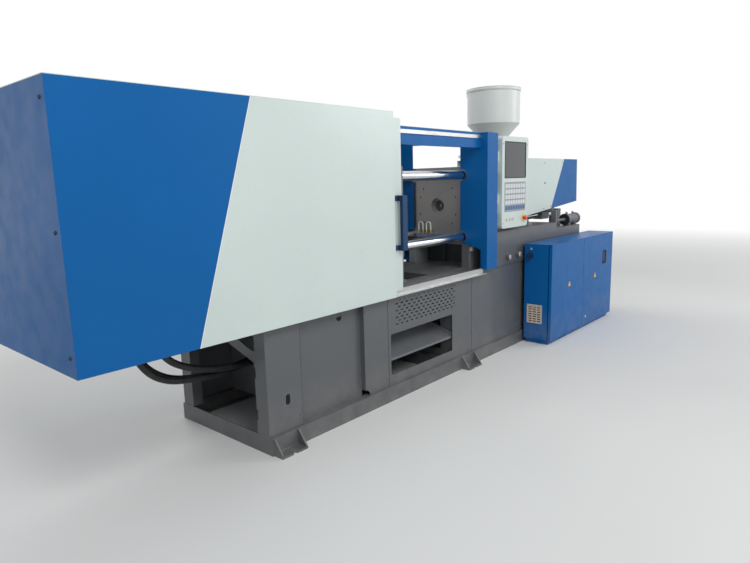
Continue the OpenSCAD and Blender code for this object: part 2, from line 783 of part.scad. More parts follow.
// Sheet gate: one skin with folded edges, a window opening and rollers on its back
module gate_leaf() {
  y = [gate_y0, gate_y0 + gate_t];
  fold = 3;
  difference() {
    block([gate_x0, gate_x1], y, [gate_low, gate_top]);
    difference() {
      block([gate_x0 + fold, gate_x1 - fold], [y[0] - 1, y[1] - fold], [gate_low + fold, gate_top - fold]);
      side_plate([y[0], y[1]]) difference() {
        soft_rect([window_x[0] - 30, window_x[1] + 30], [window_z[0] - 30, window_z[1] + 30], window_r + 20);
        soft_rect([window_x[0] - 25, window_x[1] + 25], [window_z[0] - 25, window_z[1] + 25], window_r + 15);
      }
    }
    side_plate([y[0] - 1, y[1] + 1]) soft_rect(window_x, window_z, window_r);
    block([gate_x0 - 1, gate_x1 + 1], [gate_y0 + 11, gate_y0 + 17], [gate_low - 1, gate_low + 11]);
  }
  for (x = [gate_x0 + 150, gate_x1 - 150]) {
    bar_y(x, [frame_y[1] + 1, y[0] + 2], guard_top - 20 + 15.3, 30);
    bar_y(x, [y[0] - 1, y[1] - 1], guard_top - 20 + 15.3, 16);
  }
}

module safety_gate() color(pale) mirror([0, 1, 0]) gate_leaf();

module window_pane() side_plate([gate_y0 + gate_t - 8, gate_y0 + gate_t - 3])
  soft_rect([window_x[0] - 24, window_x[1] + 24], [window_z[0] - 24, window_z[1] + 24], window_r + 14);

module gate_window() color([0.5, 0.5, 0.48, 0.4]) mirror([0, 1, 0]) window_pane();

module gate_handle() color(navy) {
  z = [1182 - grip_l / 2, 1182 + grip_l / 2];
  y = -(gate_y0 + gate_t);
  block([gate_x1 - 51, gate_x1 - 5], [y - 50, y - 26], z);
  for (k = [z[0], z[1] - 34]) {
    block([gate_x1 - 73, gate_x1 - 5], [y - 6, y], [k, k + 34]);
    block([gate_x1 - 51, gate_x1 - 5], [y - 26, y - 6], [k, k + 34]);
  }
}

module rear_gate() color(pale) translate([gate_travel, 0, 0]) {
  gate_leaf();
  y = gate_y0 + gate_t;
  x = gate_x1 - 50;
  block([x, x + 20], [y + 26, y + 40], [1060, 1300]);
  for (z = [1060, 1280]) block([x, x + 20], [y, y + 26], [z, z + 20]);
}

module rear_gate_window() color([0.5, 0.5, 0.48, 0.4]) translate([gate_travel, 0, 0]) window_pane();

module guard_side() {
  low = axis_h - 340;
  difference() {
    polygon([[-hy, guard_low], [-hy + 57, guard_low], [-hy + 57, low], [-hy + 180, low + 35],
      [-hy + guard_deep, low + 39], [-hy + guard_deep, guard_top], [-hy, guard_top]]);
    for (z = [-tie_y, tie_y]) translate([-tie_y, axis_h + z]) circle(tie_r + 12);
  }
}

module guard_portal() color(blue) {
  both_sides() {
    end_plate([guard_x0, guard_x0 + sheet]) guard_side();
    block([guard_x0, guard_x1], [-hy, -hy + sheet], [guard_low, guard_top]);
    block([guard_x1 - sheet, guard_x1], [-hy, -frame_y[0]], [guard_low, guard_top]);
    // Post inside the column, standing on the beam of the base
    block([guard_x1 - sheet - tube, guard_x1 - sheet], [-frame_y[1] + 5, -frame_y[0]], [base_h, guard_top - 3]);
    block([guard_x0, guard_x1], [-hy, -hy + 60], [guard_top - sheet, guard_top]);
    // Header over the opening of the gate
    block([housing_x1, guard_x0], [-frame_y[1], -frame_y[0]], [header_z, guard_top]);
  }
  block([guard_x0, guard_x1 - sheet], [-hy + sheet, hy - sheet], [guard_top - 55, guard_top - sheet]);
}

module water_manifold() color([0.45, 0.5, 0.56]) {
  x = fixed_face;
  z = axis_h - 225;
  block([x - 35, x], [-130, 200], [z - 35, z]);
  bend = 22;
  for (y = [60, 140]) {
    for (k = [0, 2 * bend]) {
      bar_z(x - 17, y + k, [z, z + 26], 16);
      bar_z(x - 17, y + k, [z, z + 70], 10);
    }
    translate([x - 17, y + bend, z + 70]) rotate([90, 0, 90])
      rotate_extrude(angle = 180, $fn = 48) translate([bend, 0]) circle(5, $fn = 24);
  }
}

// Injection unit

module injection_carriage() color(cast) {
  shoe_x = [[yoke_x[0], yoke_x[0] + 160], [yoke_x[0] + 680, yoke_x[0] + 840]];
  difference() {
    union() {
      block([yoke_x[0] - 20, yoke_x[0] + 860], [-240, 240], carriage_z);
      both_sides() for (x = shoe_x) block(x, [rod_y - 50, rod_y + 50], [rod_z - 40, carriage_z[0]]);
      // Yoke that holds the barrel under the feed opening
      block(yoke_x, [-yoke_y - 60, yoke_y + 60], [carriage_z[1], yoke_z]);
      // Tabs that carry the cover
      both_sides() for (x = [cover_x0 + 240, cover_x0 + 740]) {
        block([x, x + 40], [240, cover_w / 2 - sheet], [carriage_z[1] - 8, carriage_z[1]]);
        block([x, x + 40], [cover_w / 2 - sheet - 6, cover_w / 2 - sheet], [carriage_z[1] - 8, axis_h]);
      }
      // Lugs and rods of the two cylinders that move the unit
      both_sides() {
        block([drive_x, drive_x + 40], [200, seat_y + 25], [carriage_z[0] - 4, carriage_z[1] - 4]);
        block([drive_x, drive_x + 40], [seat_y - 25, seat_y + 25], [seat_z - 24, carriage_z[1] - 4]);
        bar_x([drive_x + 39, seat_x[0] + 50], seat_y, seat_z, seat_rod_d);
      }
    }
    both_sides() for (x = shoe_x) bar_x([x[0] - 1, x[1] + 1], rod_y, rod_z, rod_d + 2 * run);
    bar_x([yoke_x[0] - 1, yoke_x[1] + 1], 0, axis_h, barrel_d + 2 * run);
    bar_z(feed_x, 0, [axis_h + barrel_d / 2 - 5, yoke_z + 1], outlet_d - 30);
  }
}

module barrel() color(steel) difference() {
  bar_x([barrel_x0, yoke_x[1] + 20], 0, axis_h, barrel_d);
  bar_x([barrel_x0 - 1, yoke_x[1] + 21], 0, axis_h, screw_d + 2 * run);
  bar_z(feed_x, 0, [axis_h, axis_h + barrel_d / 2 + 1], 50);
}

module nozzle() color(steel) difference() {
  union() {
    bar_x([nozzle_tip + 70, barrel_x0], 0, axis_h, nozzle_d);
    translate([nozzle_tip + 20, 0, axis_h]) rotate([0, 90, 0]) cylinder(h = 50, d1 = 30, d2 = nozzle_d);
    translate([nozzle_tip, 0, axis_h]) rotate([0, 90, 0]) cylinder(h = 20, d1 = 16, d2 = 30);
  }
  bar_x([nozzle_tip - 1, barrel_x0 + 1], 0, axis_h, 6);
}

module heater_bands() color([0.7, 0.66, 0.55]) for (i = [0 : 4]) {
  x = barrel_x0 + 25 + i * (yoke_x[0] - barrel_x0 - 50) / 5;
  difference() {
    bar_x([x, x + 88], 0, axis_h, barrel_d + 14);
    bar_x([x - 1, x + 89], 0, axis_h, barrel_d + 2 * run);
    block([x - 1, x + 89], [-3, 3], [axis_h - barrel_d / 2 - 9, axis_h]);
  }
}

module injection_cylinders() color(cast) both_sides() difference() {
  bar_x([yoke_x[1], yoke_x[1] + 320], inj_y, axis_h, inj_cyl_d);
  bar_x([yoke_x[1] + 60, yoke_x[1] + 321], inj_y, axis_h, inj_rod_d + 2 * run);
}

// The two cylinders on the bed that move the injection unit
module carriage_cylinders() color(cast) both_sides() difference() {
  union() {
    bar_x(seat_x, seat_y, seat_z, seat_d);
    for (x = [seat_x[0], seat_x[1] - 22]) bar_x([x, x + 22], seat_y, seat_z, seat_d + 14);
    for (x = [seat_x[0] + 41, seat_x[1] - 75]) {
      block([x, x + 40], [seat_y - 30, seat_y + 30], [bed_low, bed_low + 28]);
      bar_z(x + 10, seat_y, [seat_z + 40, seat_z + 66], 24);
    }
  }
  bar_x([seat_x[0] - 1, seat_x[1] - 10], seat_y, seat_z, seat_rod_d + 2 * run);
}

module screw_drive() color(cast) {
  difference() {
    block([drive_x, drive_x + drive_t], [-yoke_y - 50, yoke_y + 50], [carriage_z[1], yoke_z]);
    bar_x([drive_x - 1, drive_x + drive_t + 1], 0, axis_h, 70 + 2 * run);
  }
  both_sides() bar_x([yoke_x[1] + 120, drive_x], inj_y, axis_h, inj_rod_d);
}

module hydraulic_motor() color(blue * 0.6) {
  x = drive_x + drive_t;
  bar_x([x, x + 30], 0, axis_h, motor_d);
  difference() {
    bar_x([x + 30, x + motor_l], 0, axis_h, motor_d - 30);
    for (a = [0 : 4]) translate([x + 60, 0, axis_h]) rotate([72 * a, 0, 0]) translate([0, 0, motor_d / 2 - 19])
      cube([motor_l, 16, 10]);
  }
  for (y = [-34, 34]) bar_z(x + 110, y, [axis_h + 60, axis_h + 110], 34);
}

// One ridge wound around the X axis, as blades that follow each other
module flight(x, root, outer, turns, pitch) {
  steps = 20;
  n = turns * steps;
  rings = [for (i = [0 : n]) let (a = 360 * i / steps, u = x + pitch * i / steps)
    for (q = [[u, root / 2 - 1.5], [u + 5, root / 2 - 1.5], [u + 4, outer / 2], [u + 1, outer / 2]])
      [q[0], q[1] * cos(a), axis_h + q[1] * sin(a)]];
  walls = [for (i = [0 : n - 1], k = [0 : 3])
    [4 * i + k, 4 * (i + 1) + k, 4 * (i + 1) + (k + 1) % 4, 4 * i + (k + 1) % 4]];
  polyhedron(rings, concat([[0, 1, 2, 3]], walls, [[for (k = [3 : -1 : 0]) 4 * n + k]]));
}

module screw() color(steel) {
  root = screw_d - 13;
  turns = 15;
  span = 640;
  start = barrel_x0 + 65;
  flight(start + 20, root, screw_d - 0.4, turns, screw_d);
  bar_x([start + span, drive_x], 0, axis_h, screw_d);
  bar_x([start - 40, start + span], 0, axis_h, root);
  translate([start - 60, 0, axis_h]) rotate([0, 90, 0]) cylinder(h = 20, d1 = 8, d2 = root);
  bar_x([start - 25, start - 5], 0, axis_h, screw_d - 2);
  bar_x([drive_x, drive_x + drive_t - 1], 0, axis_h, 70);
}

// Cover of the injection unit; the split leans towards the clamp end
module cover_profile(part) {
  s = [cover_x0 + cover_split[0], cover_x0 + cover_split[1]];
  low = [cover_low[0], cover_low[1]];
  mid = low[0] + (low[1] - low[0]) * cover_split[1] / cover_l;
  if (part == "white")
    polygon([[cover_x0, low[0]], [s[1], mid], [s[0], cover_top], [cover_x0, cover_top]]);
  else
    polygon([[s[1], mid], [cover_x1, low[1]], [cover_x1 - 18, cover_top], [s[0], cover_top]]);
}

module cover_shell(part) {
  w = cover_w / 2;
  both_sides() side_plate([w - sheet, w]) cover_profile(part);
  intersection() {
    side_plate([-w, w]) cover_profile(part);
    difference() {
      block([cover_x0, cover_x0 + cover_l + 1], [-w, w], [cover_top - sheet, cover_top]);
      block([cover_x0 - 1, notch_x], [-outlet_d / 2 - 35, outlet_d / 2 + 35], [cover_top - 9, cover_top + 1]);
    }
  }
}

module injection_cover() color(pale) cover_shell("white");

module injection_cover_end() color(blue) {
  cover_shell("blue");
  w = cover_w / 2;
  side_plate([-w, w]) polygon([[cover_x1 - sheet, cover_low[1]], [cover_x1, cover_low[1]],
    [cover_x1 - 18, cover_top], [cover_x1 - 18 - sheet, cover_top]]);
}

module purge_guard() color(pale) {
  y = [-150, 162];
  z = [axis_h - 100, axis_h + 155];
  x = [256, 396];
  bar_x([238, 415], 150, axis_h + 155, 12);
  block(x, [150, 156], [z[1] - 40, z[1] + 3]);
  block(x, [y[0], 156], [z[1] + 8, z[1] + 11]);
  block(x, [150, 156], [z[1], z[1] + 11]);
  block(x, [y[0], y[0] + 3], [z[0], z[1] + 11]);
}

// Hopper

module hopper_base() color(steel) {
  difference() {
    union() {
      block([feed_x - 90, feed_x + 90], [-90, 90], [yoke_z, yoke_z + 20]);
      bar_z(feed_x, 0, [yoke_z + 20, track_z], neck_d);
      block([feed_x - 110, feed_x + 110], [-110, 110 + hopper_travel], [track_z, track_z + track_t]);
    }
    bar_z(feed_x, 0, [yoke_z - 1, track_z + track_t + 1], outlet_d - 30);
  }
  // Guides that hold the sliding foot of the hopper
  y = [-110, 110 + hopper_travel];
  z = track_z + track_t;
  for (s = [-1, 1]) translate([feed_x, 0, 0]) mirror([s < 0 ? 1 : 0, 0, 0]) {
    block([100, 110], y, [z, z + flange_t]);
    block([91, 110], y, [z + foot_t + 0.3, z + flange_t]);
  }
}

module hopper() color(pale) {
  z = track_z + track_t;
  r = hopper_d / 2;
  ri = outlet_d / 2;
  w = hopper_wall;
  difference() {
    union() {
      block([feed_x - 98, feed_x + 98], [-98, 98], [z, z + foot_t]);
      block([feed_x - 90, feed_x + 90], [-98, 98], [z, z + 2 * flange_t + shutter_t + 1]);
    }
    block([feed_x - 99, feed_x + 62], [-60, 60], [z + flange_t, z + flange_t + shutter_t + 0.6]);
    bar_z(feed_x, 0, [z - 1, z + 2 * flange_t + shutter_t + 2], outlet_d - 2);
  }
  zf = z + 2 * flange_t + shutter_t + 1;
  translate([feed_x, 0, 0]) rotate_extrude($fn = 96)
    polygon([[ri, zf], [ri + w, zf], [ri + w, zf + spout_h], [r, hopper_wall_z], [r, hopper_top - 28],
      [r + 6, hopper_top - 24], [r + 9, hopper_top - 17], [r + 9, hopper_top - 7], [r + 7, hopper_top],
      [r - w, hopper_top], [r - w, hopper_wall_z + 1],
      [ri, zf + spout_h + 1]]);
  // Ears and pin of the lid's hinge
  for (x = [-30, 18]) {
    block([feed_x + x, feed_x + x + 12], [r - 1, r + 30], [hopper_top - 40, hopper_top - 1]);
    block([feed_x + x, feed_x + x + 12], [r + 13, r + 30], [hopper_top - 2, hopper_top + 12]);
  }
  bar_x([feed_x - 29, feed_x + 29], r + 20, hopper_top + 7, lid_pin);
}

module hopper_shutter() color(steel) {
  z = track_z + track_t + flange_t + 0.3;
  block([feed_x - 190, feed_x + 58], [-56, 56], [z, z + shutter_t]);
  bar_z(feed_x - 172, 0, [z + shutter_t, z + shutter_t + 26], 22);
}

module hopper_lid() color(pale) {
  r = hopper_d / 2;
  translate([feed_x, 0, hopper_top]) rotate_extrude($fn = 96)
    polygon([[0, lid_t + 9], [r - 14, lid_t / 2], [r - 14, 0], [r + 9, 0], [r + 9, lid_t / 2],
      [r - 6, lid_t], [0, lid_t + 14]]);
  difference() {
    union() {
      block([feed_x - 17, feed_x + 17], [r - 5, r + 20], [hopper_top + 1, hopper_top + 8]);
      bar_x([feed_x - 17, feed_x + 17], r + 20, hopper_top + 7, 14);
    }
    bar_x([feed_x - 18, feed_x + 18], r + 20, hopper_top + 7, lid_pin + 2 * run);
  }
  bar_z(feed_x, 0, [hopper_top + 12, hopper_top + 34], 22);
}

// Control panel

module panel_bracket() color(steel) {
  for (z = [panel_low + 120, panel_low + panel_h - 120 - 2 * knuckle_h]) {
    difference() {
      union() {
        bar_z(hinge_x, hinge_y, [z, z + knuckle_h], knuckle_d);
        block([guard_x1, hinge_x], [hinge_y - 15, hinge_y + 15], [z, z + knuckle_h]);
      }
      bar_z(hinge_x, hinge_y, [z - 1, z + knuckle_h + 1], pin_d);
    }
    bar_z(hinge_x, hinge_y, [z - 6, z + 2 * knuckle_h + 6], pin_d);
  }
}

module control_panel() color(pale) {
  x = [panel_x0, panel_x0 + panel_w];
  z = [panel_low, panel_low + panel_h];
  difference() {
    side_plate([panel_y0, panel_y0 + panel_d]) soft_rect(x, z, corner_r);
    // Seats of the screen, the keys and the stop button
    block([x[0] + 40, x[1] - 40], [panel_y0 - 1, panel_y0 + 6], [z[1] - 330, z[1] - 40]);
    block([x[0] + 40, x[1] - 40], [panel_y0 - 1, panel_y0 + 2], [z[0] + 130, z[1] - 360]);
    bar_y(x[1] - 75, [panel_y0 - 1, panel_y0 + 30], z[0] + 70, 22.2);
    // Hollow casing, open behind the screen
    block([x[0] + 10, x[1] - 10], [panel_y0 + 9, panel_y0 + panel_d - sheet], [z[0] + 10, z[1] - 10]);
    block([x[0] + 60, x[1] - 60], [panel_y0 + 5, panel_y0 + 10], [z[1] - 310, z[1] - 60]);
  }
  for (k = [z[0] + 120 + knuckle_h, z[1] - 120 - knuckle_h]) difference() {
    union() {
      bar_z(hinge_x, hinge_y, [k + 0.5, k + knuckle_h - 0.5], knuckle_d);
      block([hinge_x, x[0] + 1], [hinge_y - 15, hinge_y + 15], [k + 0.5, k + knuckle_h - 0.5]);
    }
    bar_z(hinge_x, hinge_y, [k - 1, k + knuckle_h + 1], pin_d + 2 * run);
  }
}

module panel_screen() color([0.1, 0.14, 0.18]) {
  x = [panel_x0 + 40, panel_x0 + panel_w - 40];
  z = [panel_low + panel_h - 330, panel_low + panel_h - 40];
  block(x, [panel_y0 + 1, panel_y0 + 6], z);
}

module panel_keys() color([0.75, 0.78, 0.8]) {
  x = [panel_x0 + 40, panel_x0 + panel_w - 40];
  z = [panel_low + 130, panel_low + panel_h - 360];
  block(x, [panel_y0, panel_y0 + 2], z);
  cols = 8;
  rows = 5;
  for (i = [0 : cols - 1], j = [0 : rows - 1]) {
    u = x[0] + 10 + i * (x[1] - x[0] - 20) / cols;
    v = z[0] + 10 + j * (z[1] - z[0] - 20) / rows;
    block([u + 4, u + (x[1] - x[0] - 20) / cols - 4], [panel_y0 - 1.5, panel_y0],
      [v + 6, v + (z[1] - z[0] - 20) / rows - 6]);
  }
}

module emergency_stop() color("red") {
  x = panel_x0 + panel_w - 75;
  z = panel_low + 70;
  bar_y(x, [panel_y0 - 16, panel_y0 + 20], z, 22.1);
  translate([x, panel_y0 - 16, z]) rotate([90, 0, 0]) rotate_extrude($fn = 48)
    polygon([[0, 0], [17, 0], [20, 4], [20, 9], [16, 15], [8, 17], [0, 18]]);
}

// Electric cabinet

module cabinet_body() color(blue) {
  y = [cab_y0 + leaf_t + leaf_gap, cab_y1];
  difference() {
    block([cab_x0, cab_x1], y, [plinth_h, cab_top]);
    block([cab_x0 + sheet, cab_x1 - sheet], [y[0] - 1, y[1] - sheet], [plinth_h + sheet, cab_top - sheet]);
    // Air hole behind the louvre
    block([cab_x0 - 1, cab_x0 + sheet + 1], [cab_y0 + 95, cab_y0 + 205], [200, 335]);
    // Spindle hole of the main switch
    bar_x([cab_x0 - 1, cab_x0 + sheet + 1], switch_y, switch_z, 12 + 2 * run);
  }
  // Folded front edge
  difference() {
    block([cab_x0, cab_x1], [y[0], y[0] + 3], [plinth_h, cab_top]);
    block([cab_x0 + 26, cab_x1 - 26], [y[0] - 1, y[0] + 4], [plinth_h + 26, cab_top - 26]);
  }
  // Cap and sill over and under the doors, with the pivot pins
  for (z = [plinth_h, cab_top - sheet]) block([cab_x0, cab_x1], [cab_y0, y[1]], [z, z + sheet]);
  for (x = [cab_x0 + hinge_in, cab_x1 - hinge_in]) {
    bar_z(x, cab_y0 + hinge_in, [plinth_h, plinth_h + 24], 2 * hinge_r);
    bar_z(x, cab_y0 + hinge_in, [cab_top - 24, cab_top], 2 * hinge_r);
  }
  block([cab_x0 + 20, cab_x1 - 20], [cab_y0 + 30, y[1] - 10], [0, plinth_h]);
  // Lugs that bolt the cabinet to the base
  for (x = [cab_x0 + 150, cab_x1 - 210]) block([x, x + 60], [cab_y1, -yr], [30, 90]);
}

module cabinet_vent() color([0.78, 0.71, 0.63]) {
  y = [cab_y0 + 81, cab_y0 + 221];
  z = [184, 350];
  rows = 7;
  cols = 3;
  difference() {
    block([cab_x0 - 5, cab_x0], y, z);
    for (i = [0 : cols - 1], j = [0 : rows - 1]) {
      u = y[0] + 12 + i * (y[1] - y[0] - 18) / cols;
      v = z[0] + 14 + j * (z[1] - z[0] - 20) / rows;
      block([cab_x0 - 6, cab_x0 + 1], [u, u + 32], [v, v + 9]);
    }
  }
}

module cabinet_gear() color([0.75, 0.75, 0.72]) {
  y = cab_y1 - sheet;
  block([cab_x0 + 60, cab_x1 - 60], [y - 4, y], [110, cab_top - 70]);
  block([cab_x0 + 110, cab_x0 + 380], [y - 150, y - 4], [260, 640]);
  for (z = [200, 420, 640]) block([cab_x0 + 440, cab_x1 - 110], [y - 14, y - 4], [z, z + 35]);
  for (i = [0 : 8], z = [200, 420, 640])
    block([cab_x0 + 460 + 90 * i, cab_x0 + 530 + 90 * i], [y - 90, y - 14], [z - 25, z + 60]);
}

// Door leaf as a folded tray, hinged on pins at the end named by side
module door_leaf(x, hinge, latch_hole) {
  y = [cab_y0, cab_y0 + leaf_t];
  z = [plinth_h + leaf_room, cab_top - leaf_room];
  difference() {
    union() {
      difference() {
        block(x, y, z);
        block([x[0] + sheet, x[1] - sheet], [y[0] + sheet, y[1] + 1], [z[0] + sheet, z[1] - sheet]);
      }
      for (k = [z[0], z[1] - 30]) block([hinge - 10, hinge + 10], [y[0] + 1, y[1] - 1], [k, k + 30]);
      if (latch_hole) block([latch_x - 50, latch_x + 50], [y[0] + 1, y[1] - 4], [latch_z - 80, latch_z + 80]);
    }
    for (k = [plinth_h, cab_top - 26]) bar_z(hinge, cab_y0 + hinge_in, [k, k + 26], 2 * hinge_r + 2 * run);
    if (latch_hole) block([latch_x - 40, latch_x + 40], [y[0] - 1, y[0] + 12], [latch_z - 65, latch_z + 65]);
    if (latch_hole) bar_x([latch_x - 46, latch_x + 46], y[0] + 7, latch_z + 52, 6 + 2 * run);
  }
}

latch_x = cab_x0 + 1220;
latch_z = 645;

module cabinet_door_left() color(blue)
  door_leaf([cab_x0 + 2, leaf_mid - 2], cab_x0 + hinge_in, false);

module cabinet_door_right() color(blue)
  door_leaf([leaf_mid + 2, cab_x1 - 2], cab_x1 - hinge_in, true);

// Flap latch in its recess, on a pin across the top
module door_latch() color(black) {
  y = cab_y0;
  block([latch_x - 38, latch_x + 38], [y + 4, y + 10], [latch_z - 60, latch_z + 50]);
  bar_x([latch_x - 45, latch_x + 45], y + 7, latch_z + 52, 6);
  block([latch_x - 20, latch_x + 20], [y - 3, y + 4], [latch_z - 55, latch_z - 40]);
}

module main_switch() color(navy) {
  bar_x([cab_x0 - 16, cab_x0 - 0.3], switch_y, switch_z, 52);
  bar_x([cab_x0 - 1, cab_x0 + 14], switch_y, switch_z, 12);
  block([cab_x0 - 34, cab_x0 - 16], [switch_y - 8, switch_y + 8], [switch_z - 30, switch_z + 30]);
}

skid_frame();
base_body();
front_panels();
grille_panel();
rear_panels();
drop_chute();
injection_bed();
oil_tank();
pump_motor();
valve_block();
clamp_hoses();
stationary_platen();
tie_bars();
tie_bar_nuts();
clamp_cylinder();
housing_frame();
housing_end_cover();
housing_side_front();
housing_top_rear();
gate_rails();
guard_portal();
water_manifold();
guide_rods();
panel_bracket();
cabinet_body();
cabinet_vent();
cabinet_gear();
moving_platen();
clamp_piston();
ejector_cylinders();
ejector_plate();
safety_gate();
gate_window();
gate_handle();
rear_gate();
rear_gate_window();
injection_carriage();
barrel();
nozzle();
heater_bands();
injection_cylinders();
carriage_cylinders();
injection_cover();
injection_cover_end();
screw_drive();
hydraulic_motor();
screw();
hopper_base();
hopper_shutter();
hopper();
hopper_lid();
purge_guard();
control_panel();
panel_screen();
panel_keys();
emergency_stop();
cabinet_door_left();
cabinet_door_right();
door_latch();
main_switch();
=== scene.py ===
"""Injection moulding machine: materials, small fittings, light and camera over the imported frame."""

import math

import bmesh
import bpy
from mathutils import Matrix, Vector


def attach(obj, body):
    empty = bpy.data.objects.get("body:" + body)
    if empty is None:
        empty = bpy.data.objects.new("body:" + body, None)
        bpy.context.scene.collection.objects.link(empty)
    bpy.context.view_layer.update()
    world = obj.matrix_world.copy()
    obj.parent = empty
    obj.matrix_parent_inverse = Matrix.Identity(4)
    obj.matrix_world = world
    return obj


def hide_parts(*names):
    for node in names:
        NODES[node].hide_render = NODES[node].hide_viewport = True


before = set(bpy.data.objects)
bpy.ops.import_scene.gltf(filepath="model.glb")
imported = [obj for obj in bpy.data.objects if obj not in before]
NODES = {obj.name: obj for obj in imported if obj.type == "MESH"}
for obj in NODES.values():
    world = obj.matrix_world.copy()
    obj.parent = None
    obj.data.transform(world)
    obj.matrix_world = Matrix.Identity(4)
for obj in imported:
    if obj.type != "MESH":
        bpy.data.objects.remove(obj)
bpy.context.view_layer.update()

# Places that the source sets, in metres
AXIS_Z = 1.235
HOUSING = (-3.160, -1.168, 0.708, 1.867)
HALF_WIDTH = 0.480
CABINET_X = 0.640
DOOR_Y = -0.710
PANEL_X = (0.170, 0.610)
PANEL_Y = -0.490
PANEL_Z = (1.045, 1.775)
GATE_X = (-2.225, -1.075)
GATE_TRAVEL = 1.030
RECESS_X = (-1.955, -1.424)
TIE_Y = 0.245
BASE_SIDE = 0.420
COVER_SIDE = 0.316
SEAT = (1.659, 0.370, 1.022)
FITTINGS = ((0.376, 0.792), (0.550, 0.799))
FITTING_Y = -0.458
BANDS = 5
BAND_X = 0.225
BAND_PITCH = 0.102

# Camera fit: its place in metres, its heading, pitch and roll in degrees, and lengths in pixels
CAMERA_PLACE = (-4.040, -2.816, 1.450)
CAMERA_ANGLES = (41.26, 9.726, -1.508)
PHOTO_WIDTH = 750
FOCAL_PIXELS = 585.2
SENSOR_WIDTH = 36.0


# Camera


def make_camera():
    heading, pitch, roll = (math.radians(a) for a in CAMERA_ANGLES)
    ahead = Vector((
        math.cos(pitch) * math.cos(heading), math.cos(pitch) * math.sin(heading), -math.sin(pitch)))
    right = Vector((math.sin(heading), -math.cos(heading), 0.0))
    up = right.cross(ahead)
    side = math.cos(roll) * right + math.sin(roll) * up
    top = -math.sin(roll) * right + math.cos(roll) * up
    data = bpy.data.cameras.new("camera")
    data.sensor_fit = "HORIZONTAL"
    data.sensor_width = SENSOR_WIDTH
    data.lens = FOCAL_PIXELS / PHOTO_WIDTH * SENSOR_WIDTH
    data.clip_end = 200.0
    obj = bpy.data.objects.new("camera", data)
    turn = Matrix((side, top, -ahead)).transposed().to_4x4()
    obj.matrix_world = Matrix.Translation(CAMERA_PLACE) @ turn
    bpy.context.scene.collection.objects.link(obj)
    bpy.context.scene.camera = obj


# Materials


class Nodes:
    """Short calls for the node tree of one material."""

    def __init__(self, name):
        self.mat = bpy.data.materials.new(name)
        self.mat.use_nodes = True
        self.tree = self.mat.node_tree
        self.tree.nodes.clear()
        self.out = self.add("ShaderNodeOutputMaterial")
        self.coord = self.add("ShaderNodeTexCoord").outputs

    def add(self, kind, **values):
        node = self.tree.nodes.new(kind)
        for key, value in values.items():
            if hasattr(node, key):
                setattr(node, key, value)
            else:
                node.inputs[key.replace("_", " ")].default_value = value
        return node

    def link(self, a, b):
        self.tree.links.new(a, b)

    def noise(self, scale, detail=2.0, rough=0.5, stretch=None):
        node = self.add("ShaderNodeTexNoise")
        node.inputs["Scale"].default_value = scale
        node.inputs["Detail"].default_value = detail
        node.inputs["Roughness"].default_value = rough
        source = self.coord["Object"]
        if stretch:
            mapping = self.add("ShaderNodeMapping")
            mapping.inputs["Scale"].default_value = stretch
            self.link(source, mapping.inputs["Vector"])
            source = mapping.outputs["Vector"]
        self.link(source, node.inputs["Vector"])
        return node.outputs["Fac"]

    def span(self, value, low, high, start=0.0, end=1.0):
        node = self.add("ShaderNodeMapRange")
        node.inputs["From Min"].default_value = start
        node.inputs["From Max"].default_value = end
        node.inputs["To Min"].default_value = low
        node.inputs["To Max"].default_value = high
        self.link(value, node.inputs["Value"])
        return node.outputs["Result"]

    def math(self, kind, a, b=None):
        node = self.add("ShaderNodeMath", operation=kind)
        for value, socket in ((a, node.inputs[0]), (b, node.inputs[1])):
            if value is None:
                continue
            if isinstance(value, (int, float)):
                socket.default_value = value
            else:
                self.link(value, socket)
        return node.outputs[0]

    def mix(self, factor, a, b):
        node = self.add("ShaderNodeMix", data_type="RGBA")
        self.put(factor, node.inputs["Factor"])
        self.put(a, node.inputs[6])
        self.put(b, node.inputs[7])
        return node.outputs[2]

    def put(self, value, socket):
        if isinstance(value, (int, float)):
            socket.default_value = value
        elif isinstance(value, tuple):
            socket.default_value = (*value[:3], 1.0)
        else:
            self.link(value, socket)

    def axis(self, output, name):
        node = self.add("ShaderNodeSeparateXYZ")
        self.link(output, node.inputs[0])
        return node.outputs[name]

    def bump(self, height, strength, distance, normal=None):
        node = self.add("ShaderNodeBump")
        node.inputs["Strength"].default_value = strength
        node.inputs["Distance"].default_value = distance
        self.link(height, node.inputs["Height"])
        if normal:
            self.link(normal, node.inputs["Normal"])
        return node.outputs["Normal"]

    def bevel(self, radius):
        node = self.add("ShaderNodeBevel", samples=4)
        node.inputs["Radius"].default_value = radius
        return node.outputs["Normal"]

    def edges(self, rounded):
        """1 on edges, 0 on flat places."""
        dot = self.add("ShaderNodeVectorMath", operation="DOT_PRODUCT")
        self.link(rounded, dot.inputs[0])
        self.link(self.add("ShaderNodeNewGeometry").outputs["Normal"], dot.inputs[1])
        return self.span(dot.outputs["Value"], 1.0, 0.0, 0.88, 0.995)

    def surface(self, color, rough, normal=None, metal=0.0, coat=0.0, **extra):
        node = self.add("ShaderNodeBsdfPrincipled")
        self.put(color, node.inputs["Base Color"])
        self.put(rough, node.inputs["Roughness"])
        node.inputs["Metallic"].default_value = metal
        node.inputs["Coat Weight"].default_value = coat
        node.inputs["Coat Roughness"].default_value = 0.15
        for key, value in extra.items():
            node.inputs[key.replace("_", " ")].default_value = value
        if normal:
            self.link(normal, node.inputs["Normal"])
        self.link(node.outputs[0], self.out.inputs["Surface"])
        return self.mat


def shade(color, k):
    return tuple(min(1.0, c * k) for c in color)


